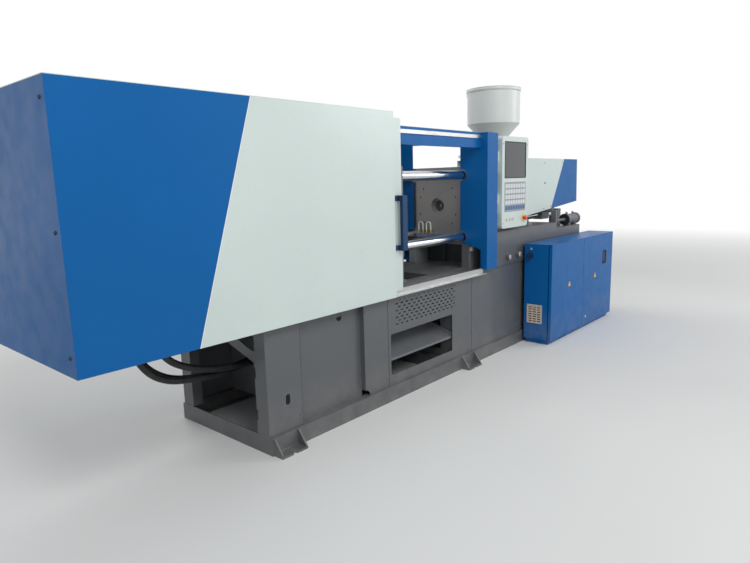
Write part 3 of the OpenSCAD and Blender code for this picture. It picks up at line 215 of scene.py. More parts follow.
def paint(name, color, rough=0.36, peel=0.10, edge=1.25, dust=0.10, coat=0.25, specular=0.5):
    """Sprayed paint: slow colour drift, orange peel, worn edges, dust on top and a dirty foot."""
    n = Nodes(name)
    drift = n.mix(n.span(n.noise(1.3, 3.0), 0.0, 1.0, 0.3, 0.7), shade(color, 0.955), shade(color, 1.045))
    fine = n.mix(n.span(n.noise(42.0, 2.0), 0.0, 0.35, 0.55, 0.75), drift, shade(color, 0.93))
    rounded = n.bevel(0.0022)
    worn = n.math("MULTIPLY", n.edges(rounded), n.span(n.noise(23.0, 4.0), 0.15, 0.8, 0.4, 0.65))
    scuffed = n.mix(worn, fine, shade(color, edge) if max(color) > 0.2 else tuple(c + 0.06 for c in color))
    up = n.span(n.axis(n.coord["Normal"], "Z"), 0.0, dust, 0.6, 1.0)
    foot = n.span(n.axis(n.coord["Object"], "Z"), 0.30, 0.0, 0.0, 0.34)
    dirt = n.math(
        "MULTIPLY", n.math("MAXIMUM", up, foot), n.span(n.noise(7.0, 5.0, 0.65), 0.0, 1.0, 0.35, 0.7))
    final = n.mix(dirt, scuffed, (0.36, 0.33, 0.28))
    roughness = n.math(
        "ADD", n.span(n.noise(11.0, 3.0), rough - 0.05, rough + 0.07, 0.3, 0.7),
        n.math("MULTIPLY", dirt, 0.35))
    normal = n.bump(n.noise(260.0, 1.0), peel, 0.0009, rounded)
    return n.surface(final, roughness, normal, coat=coat, Specular_IOR_Level=specular)


def cast(name, color, rough=0.55):
    """Painted casting with a grainy skin and a painted highlight along every edge."""
    n = Nodes(name)
    base = n.mix(n.span(n.noise(3.0, 4.0), 0.0, 1.0, 0.3, 0.7), shade(color, 0.85), shade(color, 1.12))
    rounded = n.bevel(0.003)
    # Painted highlight: every edge is mixed halfway towards a lighter copy of the colour.
    base = n.mix(n.math("MULTIPLY", n.edges(rounded), 0.5), base, shade(color, 1.5))
    grain = n.bump(n.noise(160.0, 4.0, 0.6), 0.25, 0.0012, rounded)
    return n.surface(base, n.span(n.noise(14.0), rough - 0.08, rough + 0.1, 0.3, 0.7), grain)


def platen_metal(name, paint_color):
    """Painted sides with a ground mould face, chosen by the face's direction."""
    n = Nodes(name)
    facing = n.math("ABSOLUTE", n.axis(n.coord["Normal"], "X"))
    ground = n.math("GREATER_THAN", facing, 0.9)
    painted = n.mix(
        n.span(n.noise(4.0, 3.0), 0.0, 1.0, 0.3, 0.7), shade(paint_color, 0.9), shade(paint_color, 1.1))
    lines = n.noise(60.0, 3.0, 0.6, stretch=(1.0, 14.0, 0.6))
    steel = n.mix(n.span(lines, 0.0, 1.0, 0.3, 0.7), (0.34, 0.34, 0.35), (0.50, 0.50, 0.51))
    color = n.mix(ground, painted, steel)
    rounded = n.bevel(0.0025)
    normal = n.bump(n.noise(120.0, 3.0), 0.15, 0.0008, rounded)
    node = n.add("ShaderNodeBsdfPrincipled")
    n.link(color, node.inputs["Base Color"])
    n.link(n.math("MULTIPLY", ground, 0.85), node.inputs["Metallic"])
    n.link(n.span(ground, 0.5, 0.36), node.inputs["Roughness"])
    n.link(normal, node.inputs["Normal"])
    n.link(node.outputs[0], n.out.inputs["Surface"])
    return n.mat


def metal(name, color, rough=0.25, grain=(40.0, 1.0, 1.0), strength=0.12, radius=0.0015):
    """Ground or turned metal with fine lines."""
    n = Nodes(name)
    lines = n.noise(55.0, 4.0, 0.6, stretch=grain)
    base = n.mix(n.span(lines, 0.0, 1.0, 0.3, 0.7), shade(color, 0.86), shade(color, 1.08))
    base = n.mix(n.span(n.noise(5.0, 4.0), 0.0, 0.25, 0.5, 0.75), base, shade(color, 0.62))
    roughness = n.span(n.noise(18.0, 4.0, stretch=grain), rough - 0.06, rough + 0.09, 0.3, 0.7)
    return n.surface(base, roughness, n.bump(lines, strength, 0.0004, n.bevel(radius)), metal=1.0)


def plastic(name, color, rough=0.45, peel=0.2, scale=400.0, coat=0.0):
    n = Nodes(name)
    base = n.mix(n.span(n.noise(9.0, 3.0), 0.0, 1.0, 0.3, 0.7), shade(color, 0.93), shade(color, 1.06))
    normal = n.bump(n.noise(scale, 1.0), peel, 0.0004, n.bevel(0.0010))
    return n.surface(base, n.span(n.noise(30.0), rough - 0.05, rough + 0.05, 0.3, 0.7), normal, coat=coat)


def rubber_hose(name):
    """Black rubber cover with the print of its cloth wrap."""
    n = Nodes(name)
    weave = n.add("ShaderNodeTexWave", wave_type="BANDS", bands_direction="DIAGONAL")
    weave.inputs["Scale"].default_value = 95.0
    weave.inputs["Distortion"].default_value = 1.5
    n.link(n.coord["Object"], weave.inputs["Vector"])
    base = n.mix(n.span(n.noise(24.0, 3.0), 0.0, 1.0, 0.3, 0.7), (0.012, 0.012, 0.013), (0.028, 0.028, 0.030))
    return n.surface(
        base, n.span(n.noise(60.0), 0.48, 0.62, 0.3, 0.7), n.bump(weave.outputs["Fac"], 0.3, 0.0008))


def clear(name, color, rough=0.03):
    """Polycarbonate sheet, slightly tinted, with faint wipe marks."""
    n = Nodes(name)
    streaks = n.noise(14.0, 4.0, 0.6, stretch=(0.5, 1.0, 4.0))
    base = n.mix(n.span(streaks, 0.0, 1.0, 0.4, 0.7), shade(color, 0.95), color)
    return n.surface(
        base, n.span(streaks, rough, rough + 0.06, 0.45, 0.75), n.bump(n.noise(6.0, 2.0), 0.05, 0.001),
        Transmission_Weight=0.92, IOR=1.45)


def manifold_mix(name):
    """Painted block with brass nipples and pale hose loops above them."""
    n = Nodes(name)
    z = n.axis(n.coord["Object"], "Z")
    brass = n.math("GREATER_THAN", z, 1.0105)
    hose = n.math("GREATER_THAN", z, 1.0365)
    block = n.mix(n.span(n.noise(20.0), 0.0, 1.0, 0.3, 0.7), (0.12, 0.16, 0.24), (0.17, 0.22, 0.30))
    color = n.mix(hose, n.mix(brass, block, (0.60, 0.42, 0.16)), (0.74, 0.75, 0.72))
    node = n.add("ShaderNodeBsdfPrincipled")
    n.link(color, node.inputs["Base Color"])
    n.link(n.math("MULTIPLY", n.math("SUBTRACT", brass, hose), 0.9), node.inputs["Metallic"])
    n.link(n.span(n.noise(40.0), 0.28, 0.42, 0.3, 0.7), node.inputs["Roughness"])
    n.link(n.bump(n.noise(200.0), 0.1, 0.0005, n.bevel(0.0015)), node.inputs["Normal"])
    n.link(node.outputs[0], n.out.inputs["Surface"])
    return n.mat


def key_sheet(name):
    """Membrane with darker caps and one row in blue."""
    n = Nodes(name)
    raised = n.math("LESS_THAN", n.axis(n.coord["Object"], "Y"), PANEL_Y - 0.0008)
    z = n.axis(n.coord["Object"], "Z")
    low = n.math("LESS_THAN", z, 1.235)
    caps = n.mix(low, (0.66, 0.69, 0.71), (0.05, 0.14, 0.30))
    color = n.mix(raised, (0.30, 0.33, 0.36), caps)
    normal = n.bump(n.noise(500.0, 1.0), 0.12, 0.0003, n.bevel(0.0008))
    return n.surface(color, n.span(n.noise(25.0), 0.4, 0.5, 0.3, 0.7), normal)


BLUE = (0.002, 0.112, 0.355)
PALE = (0.590, 0.680, 0.650)
GREY = (0.098, 0.105, 0.114)

M = {
    "blue": paint("blue_paint", BLUE, 0.36, edge=1.35, dust=0.05, coat=0.0, specular=0.18),
    "pale": paint("pale_paint", PALE, 0.38, edge=1.10, dust=0.06),
    # Painted light: the hopper and its lid get a lit copy of the pale paint. It is lighter and greyer than
    # PALE so that they render lighter than the lamps make them.
    "pale_lit_copy": paint("hopper_steel", (0.680, 0.720, 0.690), 0.38, edge=1.10, dust=0.06),
    "grey": paint("frame_paint", GREY, 0.42, peel=0.16, dust=0.28),
    "navy": paint("navy_paint", (0.008, 0.045, 0.120), 0.36, dust=0.05, coat=0.0, specular=0.3),
    "machine": cast("machine_grey", (0.150, 0.160, 0.172)),
    "platen": platen_metal("platen_iron", (0.16, 0.17, 0.18)),
    "chrome": metal("chromed_rod", (0.66, 0.67, 0.69), 0.16, (1.0, 30.0, 30.0), 0.05),
    "steel": metal("bright_steel", (0.58, 0.59, 0.60), 0.30),
    "zinc": metal("zinc_rail", (0.55, 0.56, 0.56), 0.38, (2.0, 2.0, 2.0)),
    "nut": metal("dark_nut_steel", (0.22, 0.22, 0.23), 0.38),
    "band": metal("heater_band_metal", (0.55, 0.50, 0.40), 0.42, (1.0, 20.0, 20.0)),
    "hose": rubber_hose("hose_rubber"),
    "window": clear("clear_plastic", (0.46, 0.44, 0.41)),
    "screen": plastic("screen_glass", (0.010, 0.014, 0.020), 0.12, 0.01, coat=0.6),
    "keys": key_sheet("key_film"),
    "red": plastic("stop_red", (0.58, 0.010, 0.012), 0.22, 0.05, coat=0.4),
    "yellow": plastic("sign_yellow", (0.80, 0.50, 0.02), 0.35, 0.03),
    "black": plastic("black_plastic", (0.016, 0.016, 0.018), 0.5),
    "beige": plastic("vent_plastic", (0.62, 0.52, 0.43), 0.5),
    "switch": plastic("switch_plastic", (0.008, 0.030, 0.090), 0.3),
    "gear": plastic("gear_plastic", (0.55, 0.56, 0.54), 0.5),
    "cream": plastic("fitting_cream", (0.62, 0.60, 0.54), 0.4),
    "manifold": manifold_mix("manifold_metal"),
    "motor": cast("motor_paint", (0.010, 0.060, 0.160), 0.45),
    "seal": plastic("seal_rubber", (0.020, 0.020, 0.021), 0.65),
    # Near-white paint for the painted highlight along the housing's split line
    "white": paint("white_edge", (0.78, 0.80, 0.80), 0.4, dust=0.0),
    "brass": metal("brass", (0.62, 0.44, 0.18), 0.3),
}

DRESS = {
    "grey": "skid_frame base_body front_panels grille_panel rear_panels injection_bed housing_frame",
    "pale": "housing_side_front housing_top_rear safety_gate rear_gate injection_cover purge_guard "
    "control_panel",
    # Lit copy of the pale paint for the hopper and its lid: painted light
    "pale_lit_copy": "hopper hopper_lid",
    "blue": "housing_end_cover guard_portal injection_cover_end cabinet_body "
    "cabinet_door_left cabinet_door_right",
    "navy": "gate_handle",
    "machine": "drop_chute carriage_cylinders oil_tank pump_motor valve_block clamp_cylinder "
    "injection_carriage injection_cylinders screw_drive",
    "platen": "stationary_platen moving_platen",
    "chrome": "tie_bars guide_rods clamp_piston",
    "steel": "ejector_plate barrel nozzle screw panel_bracket hopper_base hopper_shutter",
    "zinc": "gate_rails",
    "nut": "tie_bar_nuts ejector_cylinders",
    "band": "heater_bands",
    "window": "gate_window rear_gate_window",
    "screen": "panel_screen",
    "keys": "panel_keys",
    "red": "emergency_stop",
    "beige": "cabinet_vent",
    "black": "door_latch",
    "switch": "main_switch",
    "gear": "cabinet_gear",
    "manifold": "water_manifold",
    "motor": "hydraulic_motor",
    "hose": "clamp_hoses",
}


def dress_nodes():
    for key, names in DRESS.items():
        for name in names.split():
            obj = NODES[name]
            for slot in obj.material_slots:
                slot.material = M[key]
            smooth_by_angle(obj)


def smooth_by_angle(obj, angle=30.0):
    mesh = obj.data
    mesh.shade_smooth()
    mesh.set_sharp_from_angle(angle=math.radians(angle))


# Small shapes


def piece(name, bm, key, body, smooth=35.0):
    bmesh.ops.recalc_face_normals(bm, faces=bm.faces)
    mesh = bpy.data.meshes.new(name)
    bm.to_mesh(mesh)
    bm.free()
    obj = bpy.data.objects.new(name, mesh)
    bpy.context.scene.collection.objects.link(obj)
    mesh.materials.append(M[key])
    smooth_by_angle(obj, smooth)
    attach(obj, body)
    return obj


def frame_of(point, normal):
    """Matrix with Z along normal, at point."""
    z = Vector(normal).normalized()
    x = z.orthogonal() if abs(z.z) > 0.99 else Vector((0, 0, 1)).cross(z)
    x.normalize()
    return Matrix.Translation(point) @ Matrix((x, z.cross(x), z)).transposed().to_4x4()


def lathe(bm, profile, place, sides=32, ring=False):
    """Turned solid from (radius, height) pairs; a radius of 0 closes it, and a ring has a hole through it."""
    rings = []
    for radius, height in profile:
        if radius < 1e-6:
            rings.append([bm.verts.new(place @ Vector((0, 0, height)))])
        else:
            rings.append([
                bm.verts.new(place @ Vector((radius * math.cos(t), radius * math.sin(t), height)))
                for t in (2 * math.pi * k / sides for k in range(sides))
            ])
    for a, b in zip(rings, rings[1:] + (rings[:1] if ring else [])):
        for k in range(sides):
            j = (k + 1) % sides
            if len(a) == 1:
                bm.faces.new((a[0], b[k], b[j]))
            elif len(b) == 1:
                bm.faces.new((a[k], a[j], b[0]))
            else:
                bm.faces.new((a[k], a[j], b[j], b[k]))
    for loop, flip in ((rings[0], True), (rings[-1], False)):
        if len(loop) > 1 and not ring:
            bm.faces.new(loop[::-1] if flip else loop)


def socket_screw(bm, point, normal, radius=0.007):
    """Button head with a hexagon socket."""
    place = frame_of(point, normal)
    height = radius * 0.55
    rings = []
    for r, h in ((1.0, 0.0), (1.0, 0.25), (0.82, 0.8), (0.55, 1.0)):
        rings.append([(r * radius * math.cos(t), r * radius * math.sin(t), h * height)
                      for t in (math.pi * k / 6 for k in range(12))])
    for depth in (1.0, 0.4):
        hexagon = []
        for k in range(12):
            reach = 0.45 * radius * (1.0 if k % 2 == 0 else math.cos(math.pi / 6))
            hexagon.append((
                reach * math.cos(math.pi * k / 6), reach * math.sin(math.pi * k / 6), depth * height))
        rings.append(hexagon)
    verts = [[bm.verts.new(place @ Vector(p)) for p in ring] for ring in rings]
    for a, b in zip(verts, verts[1:]):
        for k in range(12):
            bm.faces.new((a[k], a[(k + 1) % 12], b[(k + 1) % 12], b[k]))
    bm.faces.new(verts[0][::-1])
    bm.faces.new(verts[-1])


def hex_bolt(bm, point, normal, radius=0.012, height=0.009, washer=True):
    place = frame_of(point, normal)
    base = 0.0
    if washer:
        lathe(bm, [(radius * 1.25, 0.0), (radius * 1.25, 0.002), (radius * 0.5, 0.002)], place, 24)
        base = 0.002
    rings = []
    for r, h in ((1.0, 0.0), (1.0, 0.8), (0.86, 1.0)):
        rings.append([
            bm.verts.new(place @ Vector((
                r * radius * math.cos(t), r * radius * math.sin(t), base + h * height)))
            for t in (math.pi * k / 3 for k in range(6))])
    for a, b in zip(rings, rings[1:]):
        for k in range(6):
            bm.faces.new((a[k], a[(k + 1) % 6], b[(k + 1) % 6], b[k]))
    bm.faces.new(rings[0][::-1])
    bm.faces.new(rings[-1])


def box(bm, low, high, bevel=0.0, segments=2):
    made = bmesh.ops.create_cube(bm, size=1.0)
    size = Vector(high) - Vector(low)
    centre = (Vector(high) + Vector(low)) / 2
    for v in made["verts"]:
        v.co = Vector((v.co.x * size.x, v.co.y * size.y, v.co.z * size.z)) + centre
    if bevel:
        edges = {e for v in made["verts"] for e in v.link_edges}
        bmesh.ops.bevel(bm, geom=list(edges), offset=bevel, segments=segments, affect="EDGES", profile=0.5)


def slab(bm, outline, place, thick):
    """Flat plate from a closed outline in the plane of place, standing up along its Z."""
    low = [bm.verts.new(place @ Vector((x, y, 0))) for x, y in outline]
    high = [bm.verts.new(place @ Vector((x, y, thick))) for x, y in outline]
    count = len(outline)
    for k in range(count):
        j = (k + 1) % count
        bm.faces.new((low[k], low[j], high[j], high[k]))
    bm.faces.new(low[::-1])
    bm.faces.new(high)


def round_outline(points, radius, steps=5):
    """Closed outline with round corners."""
    out = []
    count = len(points)
    for k in range(count):
        p, a, b = (Vector(points[i % count]) for i in (k, k - 1, k + 1))
        da, db = (a - p).normalized(), (b - p).normalized()
        angle = da.angle(db)
        reach = radius / math.tan(angle / 2)
        start, end = p + da * reach, p + db * reach
        centre = p + (da + db).normalized() * (radius / math.sin(angle / 2))
        for s in range(steps + 1):
            t = s / steps
            mid = (start * (1 - t) + end * t - centre).normalized() * radius + centre
            out.append((mid.x, mid.y))
    return out


def rounded_loop(x, z, radius, y, steps=8):
    corners = [(x[0], z[0]), (x[1], z[0]), (x[1], z[1]), (x[0], z[1])]
    return [Vector((px, y, pz)) for px, pz in round_outline(corners, radius, steps)]


def tube(bm, points, radius, sides=12, closed=False):
    """Round bar along points, with mitred rings."""
    count = len(points)
    rings = []
    side = None
    for k, p in enumerate(points):
        before = points[k - 1] if closed or k > 0 else p
        after = points[(k + 1) % count] if closed or k < count - 1 else p
        along = (Vector(after) - Vector(before)).normalized()
        if side is None:
            side = along.orthogonal().normalized()
        side = (side - along * side.dot(along)).normalized()
        other = along.cross(side)
        rings.append([
            bm.verts.new(Vector(p) + radius * (math.cos(t) * side + math.sin(t) * other))
            for t in (2 * math.pi * s / sides for s in range(sides))
        ])
    pairs = list(zip(rings, rings[1:]))
    if closed:
        pairs.append((rings[-1], rings[0]))
    for a, b in pairs:
        shift = 0
        if closed and b is rings[0] and a is rings[-1]:
            shift = min(range(sides), key=lambda s: (a[0].co - b[s].co).length)
        for s in range(sides):
            j = (s + 1) % sides
            bm.faces.new((a[s], a[j], b[(j + shift) % sides], b[(s + shift) % sides]))
    if not closed:
        bm.faces.new(rings[0][::-1])
        bm.faces.new(rings[-1])


def curve(points, steps=8):
    """Smooth path through points."""
    pts = [Vector(p) for p in points]
    out = []
    for i in range(len(pts) - 1):
        a, b, c, d = (pts[max(i - 1, 0)], pts[i], pts[i + 1], pts[min(i + 2, len(pts) - 1)])
        for s in range(steps):
            t = s / steps
            out.append(0.5 * (2 * b + (c - a) * t + (2 * a - 5 * b + 4 * c - d) * t * t
                              + (3 * b - a - 3 * c + d) * t ** 3))
    out.append(pts[-1])
    return out


# Housing and guards


def housing_trim():
    x0, _, low, top = HOUSING
    bm = bmesh.new()
    # Painted highlight: a near-white strip along each slanted split between the blue and the pale sheet
    # stands for the lit edge of the pale sheet where it overlaps the blue one.
    for side in (-1, 1):
        a, b = Vector((x0 + 0.550, low)), Vector((x0 + 0.920, top - 0.003))
        turned = Matrix(((1, 0, 0), (0, 0, side), (0, 1, 0))).to_4x4()
        place = Matrix.Translation((0, side * HALF_WIDTH, 0)) @ turned
        slab(
            bm, [(a.x - 0.003, a.y), (a.x + 0.003, a.y), (b.x + 0.003, b.y), (b.x - 0.003, b.y)],
            place, 0.0006)
    piece("housing_split_line", bm, "white", "frame")

    bm = bmesh.new()
    for y in (-0.430, 0.430):
        for z in (0.789, 1.287, 1.787):
            socket_screw(bm, (x0, y, z), (-1, 0, 0), 0.009)
    for side in (-1, 1):
        for x in (-2.95, -1.60, -1.24):
            socket_screw(bm, (x, side * 0.40, HOUSING[3]), (0, 0, 1), 0.009)
    piece("housing_screws", bm, "black", "frame")


def guard_trim():
    bm = bmesh.new()
    for side in (-1, 1):
        for z in (0.80, 1.27, 1.74):
            socket_screw(bm, (0.098, side * HALF_WIDTH, z), (0, side, 0), 0.006)
    piece("guard_screws", bm, "nut", "frame")


def window_seals():
    """Rubber seal round each window, on the side that a person sees."""
    for name, body, side, shift in (
            ("gate_window_seal", "gate", -1, 0.0), ("rear_window_seal", "rear_gate", 1, GATE_TRAVEL)):
        x = (GATE_X[0] + 0.100 + shift, GATE_X[1] - 0.120 + shift)
        bm = bmesh.new()
        for y, radius in ((side * 0.4605, 0.0045), (side * 0.4525, 0.004)):
            grow = 0.0 if radius > 0.0042 else -0.004
            loop = rounded_loop((x[0] - grow, x[1] + grow), (1.050 - grow, 1.680 + grow), 0.060, y)
            tube(bm, loop, radius, 10, closed=True)
        piece(name, bm, "seal", body)


def gate_fittings():
    bm = bmesh.new()
    for z in (1.015, 1.033, 1.331, 1.349):
        socket_screw(bm, (GATE_X[1] - 0.062, -0.466, z), (0, -1, 0), 0.0045)
    piece("gate_handle_screws", bm, "nut", "gate")
    bm = bmesh.new()
    for z in (1.070, 1.290):
        socket_screw(bm, (GATE_X[1] + GATE_TRAVEL - 0.040, 0.500, z), (0, 1, 0), 0.005)
    piece("rear_handle_screws", bm, "nut", "rear_gate")


# Base


def base_trim():
    bm = bmesh.new()
    spots = [
        (-2.185, 0.160), (-2.185, 0.640), (-1.972, 0.160), (-1.972, 0.640), (-1.405, 0.640), (-1.210, 0.160),
        (-1.210, 0.660), (-0.150, 0.160), (-0.150, 0.660), (0.600, 0.660), (0.600, 0.160)]
    for x, z in spots:
        socket_screw(bm, (x, -BASE_SIDE, z), (0, -1, 0), 0.006)
    for x in (RECESS_X[0] + 0.020, RECESS_X[1] - 0.020):
        for z in (0.160, 0.660):
            socket_screw(bm, (x, -0.383, z), (0, -1, 0), 0.006)
    for x in (-2.15, -1.54, -1.46, -0.84, -0.76, -0.14, -0.06, 0.96, 1.04, 2.15):
        for z in (0.160, 0.660):
            socket_screw(bm, (x, BASE_SIDE, z), (0, 1, 0), 0.006)
    piece("base_panel_screws", bm, "nut", "frame")

    # Welds of the feet and of the posts
    bm = bmesh.new()
    feet = [(-1.870, 1), (-2.190, -1), (-0.340, 1), (-0.340, -1), (2.010, 1)]
    for x, side in feet:
        y = side * 0.4405
        tube(bm, curve([(x + 0.002, y, 0.0125), (x + 0.178, y, 0.0125)], 14), 0.0035, 8)
        for gx in (x - 0.0005, x + 0.1805):
            tube(bm, curve([(gx, y, 0.014), (gx, y, 0.092)], 6), 0.0028, 8)
    for y in (-0.416, 0.416):
        tube(bm, curve([(-2.2005, y, 0.1015), (-2.2005, y - math.copysign(0.096, y), 0.1015)], 8), 0.0032, 8)
    piece("weld_beads", bm, "grey", "frame")


def bed_fittings():
    bm = bmesh.new()
    for x, z in FITTINGS:
        place = frame_of((x, FITTING_Y, z), (0, -1, 0))
        lathe(bm, [(0.0205, 0.0), (0.0205, 0.004), (0.017, 0.007), (0.017, 0.0), (0.0, 0.0)], place, 32)
    piece("bed_fitting_rims", bm, "cream", "frame")
    bm = bmesh.new()
    for x, z in FITTINGS:
        hex_bolt(bm, (x, FITTING_Y, z), (0, -1, 0), 0.0125, 0.007, washer=False)
    piece("bed_fitting_plugs", bm, "zinc", "frame")

    bm = bmesh.new()
    box(bm, (-0.018, -0.325, 0.874), (0.018, -0.305, 0.910), 0.003)
    piece("platen_sensor", bm, "cream", "frame")


# Hydraulics


def hose_routes():
    port, z, x1 = -2.700, 1.020, -1.866
    a = [(port, .060, z), (port, .060, .860), (port + .010, .060, .700), (port + .060, .050, .550),
         (port + .160, .040, .450), (port + .300, .030, .400), (port + .500, .020, .385),
         (x1 - .130, .020, .405), (x1 - .050, .020, .420), (x1, .020, .420)]
    b = [(port, 0, z), (port, 0, .840), (port - .010, -.005, .660), (port + .050, -.020, .520),
         (port + .160, -.030, .440), (port + .320, -.040, .410), (port + .500, -.040, .400),
         (x1 - .050, -.040, .420), (x1, -.040, .420)]
    c = [(port, -.060, z), (port, -.060, .860), (port + .060, -.070, .700), (port + .140, -.085, .570),
         (port + .250, -.095, .500), (port + .380, -.100, .460), (port + .520, -.100, .440),
         (x1 - .050, -.100, .420), (x1, -.100, .420)]
    return a, b, c


def hoses():
    bm = bmesh.new()
    ends = bmesh.new()
    for route in hose_routes():
        tube(bm, curve(route, 10), 0.019, 20)
        for tip, nxt in ((route[0], route[1]), (route[-1], route[-2])):
            place = frame_of(tip, Vector(nxt) - Vector(tip))
            lathe(ends, [(0.021, 0.0005), (0.0235, 0.003), (0.0235, 0.010), (0.0215, 0.012), (0.0215, 0.018),
                         (0.0235, 0.020), (0.0235, 0.030), (0.0215, 0.032), (0.0215, 0.040), (0.0225, 0.044),
                         (0.0195, 0.050)], place, 28)
    made = piece("clamp_hose_covers", bm, "hose", "frame")
    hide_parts("clamp_hoses")
    piece("hose_ferrules", ends, "zinc", "frame")


# Clamp


def clamp_fittings():
    bm = bmesh.new()
    for y in (-TIE_Y, TIE_Y):
        for dz in (-TIE_Y, TIE_Y):
            for x, ahead in ((0.230, 1), (-1.820, -1)):
                for k in range(6):
                    t = math.pi * k / 3
                    spot = (x, y + 0.048 * math.cos(t), AXIS_Z + dz + 0.048 * math.sin(t))
                    socket_screw(bm, spot, (ahead, 0, 0), 0.007)
    piece("tie_bar_nut_screws", bm, "nut", "frame")

    bm = bmesh.new()
    for k in range(16):
        t = 2 * math.pi * k / 16
        hex_bolt(bm, (-2.460, 0.215 * math.cos(t), AXIS_Z + 0.215 * math.sin(t)), (-1, 0, 0), 0.011, 0.009)
    piece("cylinder_cap_bolts", bm, "nut", "frame")

    bm = bmesh.new()
    for side in (-1, 1):
        for x in (-1.010, -0.840):
            socket_screw(bm, (x, side * 0.3105, 0.756), (0, side, 0), 0.005)
        place = frame_of((-1.330, side * 0.230, AXIS_Z), (-1, 0, 0))
        lathe(bm, [(0.030, 0.0), (0.030, 0.006), (0.012, 0.006), (0.012, 0.016), (0.0, 0.016)], place, 28)
    piece("platen_small_parts", bm, "nut", "platen")


# Injection unit


def seat_trim():
    """Black gland rings on the cylinders of the carriage, and their port nuts."""
    bm = bmesh.new()
    ports = bmesh.new()
    for side in (-1, 1):
        place = frame_of((SEAT[0], side * SEAT[1], SEAT[2]), (-1, 0, 0))
        lathe(
            bm, [(0.0565, 0.0), (0.0565, 0.004), (0.054, 0.006), (0.020, 0.006), (0.018, 0.004),
                 (0.018, 0.0)], place, 48, ring=True)
        for x in (1.710, 1.860):
            hex_bolt(ports, (x, side * SEAT[1], 1.088), (0, 0, 1), 0.010, 0.009, washer=False)
    piece("seat_gland_rings", bm, "black", "frame")
    piece("seat_port_plugs", ports, "zinc", "frame")


def heater_trim():
    bm = bmesh.new()
    wires = bmesh.new()
    for i in range(BANDS):
        x = BAND_X + i * BAND_PITCH + 0.044
        box(bm, (x - 0.014, -0.012, AXIS_Z + 0.061), (x + 0.014, 0.012, AXIS_Z + 0.078), 0.002)
        tube(wires, curve([
            (x, 0.010, AXIS_Z + 0.070), (x, 0.045, AXIS_Z + 0.072), (x + 0.01, 0.082, AXIS_Z + 0.045),
            (x + 0.02, 0.090, AXIS_Z + 0.005)], 5), 0.0028, 8)
    tube(wires, curve([
        (0.245, 0.092, AXIS_Z), (0.45, 0.092, AXIS_Z - 0.004), (0.70, 0.092, AXIS_Z),
        (0.757, 0.092, AXIS_Z)], 8), 0.007, 12)
    piece("heater_terminals", bm, "cream", "carriage")
    piece("heater_wires", wires, "seal", "carriage")
    bm = bmesh.new()
    for i in range(BANDS):
        x = BAND_X + i * BAND_PITCH
        for dx in (0.020, 0.068):
            socket_screw(bm, (x + dx, -0.0045, AXIS_Z - 0.063), (0, 0, -1), 0.0045)
    piece("heater_screws", bm, "nut", "carriage")


def cover_trim():
    spots = (
        (0.800, 1.130), (0.800, 1.580), (1.300, 1.150), (1.300, 1.580), (1.700, 1.590),
        (1.450, 1.165), (1.560, 1.185), (2.030, 1.215), (2.030, 1.580), (1.780, 1.590))
    bm = bmesh.new()
    for side in (-1, 1):
        for x, z in spots:
            socket_screw(bm, (x, side * COVER_SIDE, z), (0, side, 0), 0.006)
    piece("cover_screws", bm, "nut", "carriage")
    bm = bmesh.new()
    for side in (-1, 1):
        lathe(
            bm, [(0.010, 0.0), (0.010, 0.0015), (0.008, 0.0025), (0.0, 0.0025)],
            frame_of((1.314, side * COVER_SIDE, 1.390), (0, side, 0)), 28)
    piece("cover_locks", bm, "black", "carriage")


def hopper_trim():
    bm = bmesh.new()
    for sx in (-1, 1):
        for sy in (-1, 1):
            hex_bolt(bm, (0.88 + sx * 0.072, sy * 0.078, 1.688), (0, 0, 1), 0.009, 0.006)
    piece("hopper_foot_bolts", bm, "nut", "hopper")
    bm = bmesh.new()
    for x in (0.800, 0.960):
        hex_bolt(bm, (x, -0.080, 1.355), (0, 0, 1), 0.008, 0.006)
        hex_bolt(bm, (x, 0.080, 1.355), (0, 0, 1), 0.008, 0.006)
    piece("throat_bolts", bm, "nut", "carriage")


# Control panel and cabinet


def panel_trim():
    x = (PANEL_X[0] + 0.040, PANEL_X[1] - 0.040)
    z = (PANEL_Z[1] - 0.330, PANEL_Z[1] - 0.040)
    bm = bmesh.new()
    lip = rounded_loop((x[0] + 0.004, x[1] - 0.004), (z[0] + 0.004, z[1] - 0.004), 0.006, PANEL_Y + 0.0005)
    tube(bm, lip, 0.004, 8, True)
    piece("screen_bezel", bm, "black", "panel")
    bm = bmesh.new()
    place = frame_of((PANEL_X[1] - 0.075, PANEL_Y, PANEL_Z[0] + 0.070), (0, -1, 0))
    lathe(bm, [(0.030, 0.0), (0.030, 0.0015), (0.0285, 0.0025), (0.0125, 0.0025), (0.0125, 0.0)], place, 48)
    piece("stop_collar", bm, "yellow", "panel")
    bm = bmesh.new()
    for px in (PANEL_X[0] + 0.018, PANEL_X[1] - 0.018):
        for pz in (PANEL_Z[0] + 0.040, PANEL_Z[1] - 0.060):
            socket_screw(bm, (px, PANEL_Y, pz), (0, -1, 0), 0.005)
    piece("panel_screws", bm, "nut", "panel")
    bm = bmesh.new()
    for k in range(3):
        place = frame_of((PANEL_X[0] + 0.080 + 0.050 * k, PANEL_Y, PANEL_Z[0] + 0.070), (0, -1, 0))
        lathe(bm, [(0.013, 0.0), (0.013, 0.003), (0.010, 0.004), (0.0095, 0.009), (0.0, 0.0095)], place, 32)
    piece("panel_lamps", bm, "cream", "panel")


def triangle(bm, point, normal, size, inner, thick):
    place = frame_of(point, normal)
    outline = [(size * math.cos(t) * inner, size * math.sin(t) * inner)
               for t in (math.pi / 2 + 2 * math.pi * k / 3 for k in range(3))]
    slab(bm, round_outline(outline, size * 0.10 * inner, 4), place, thick)


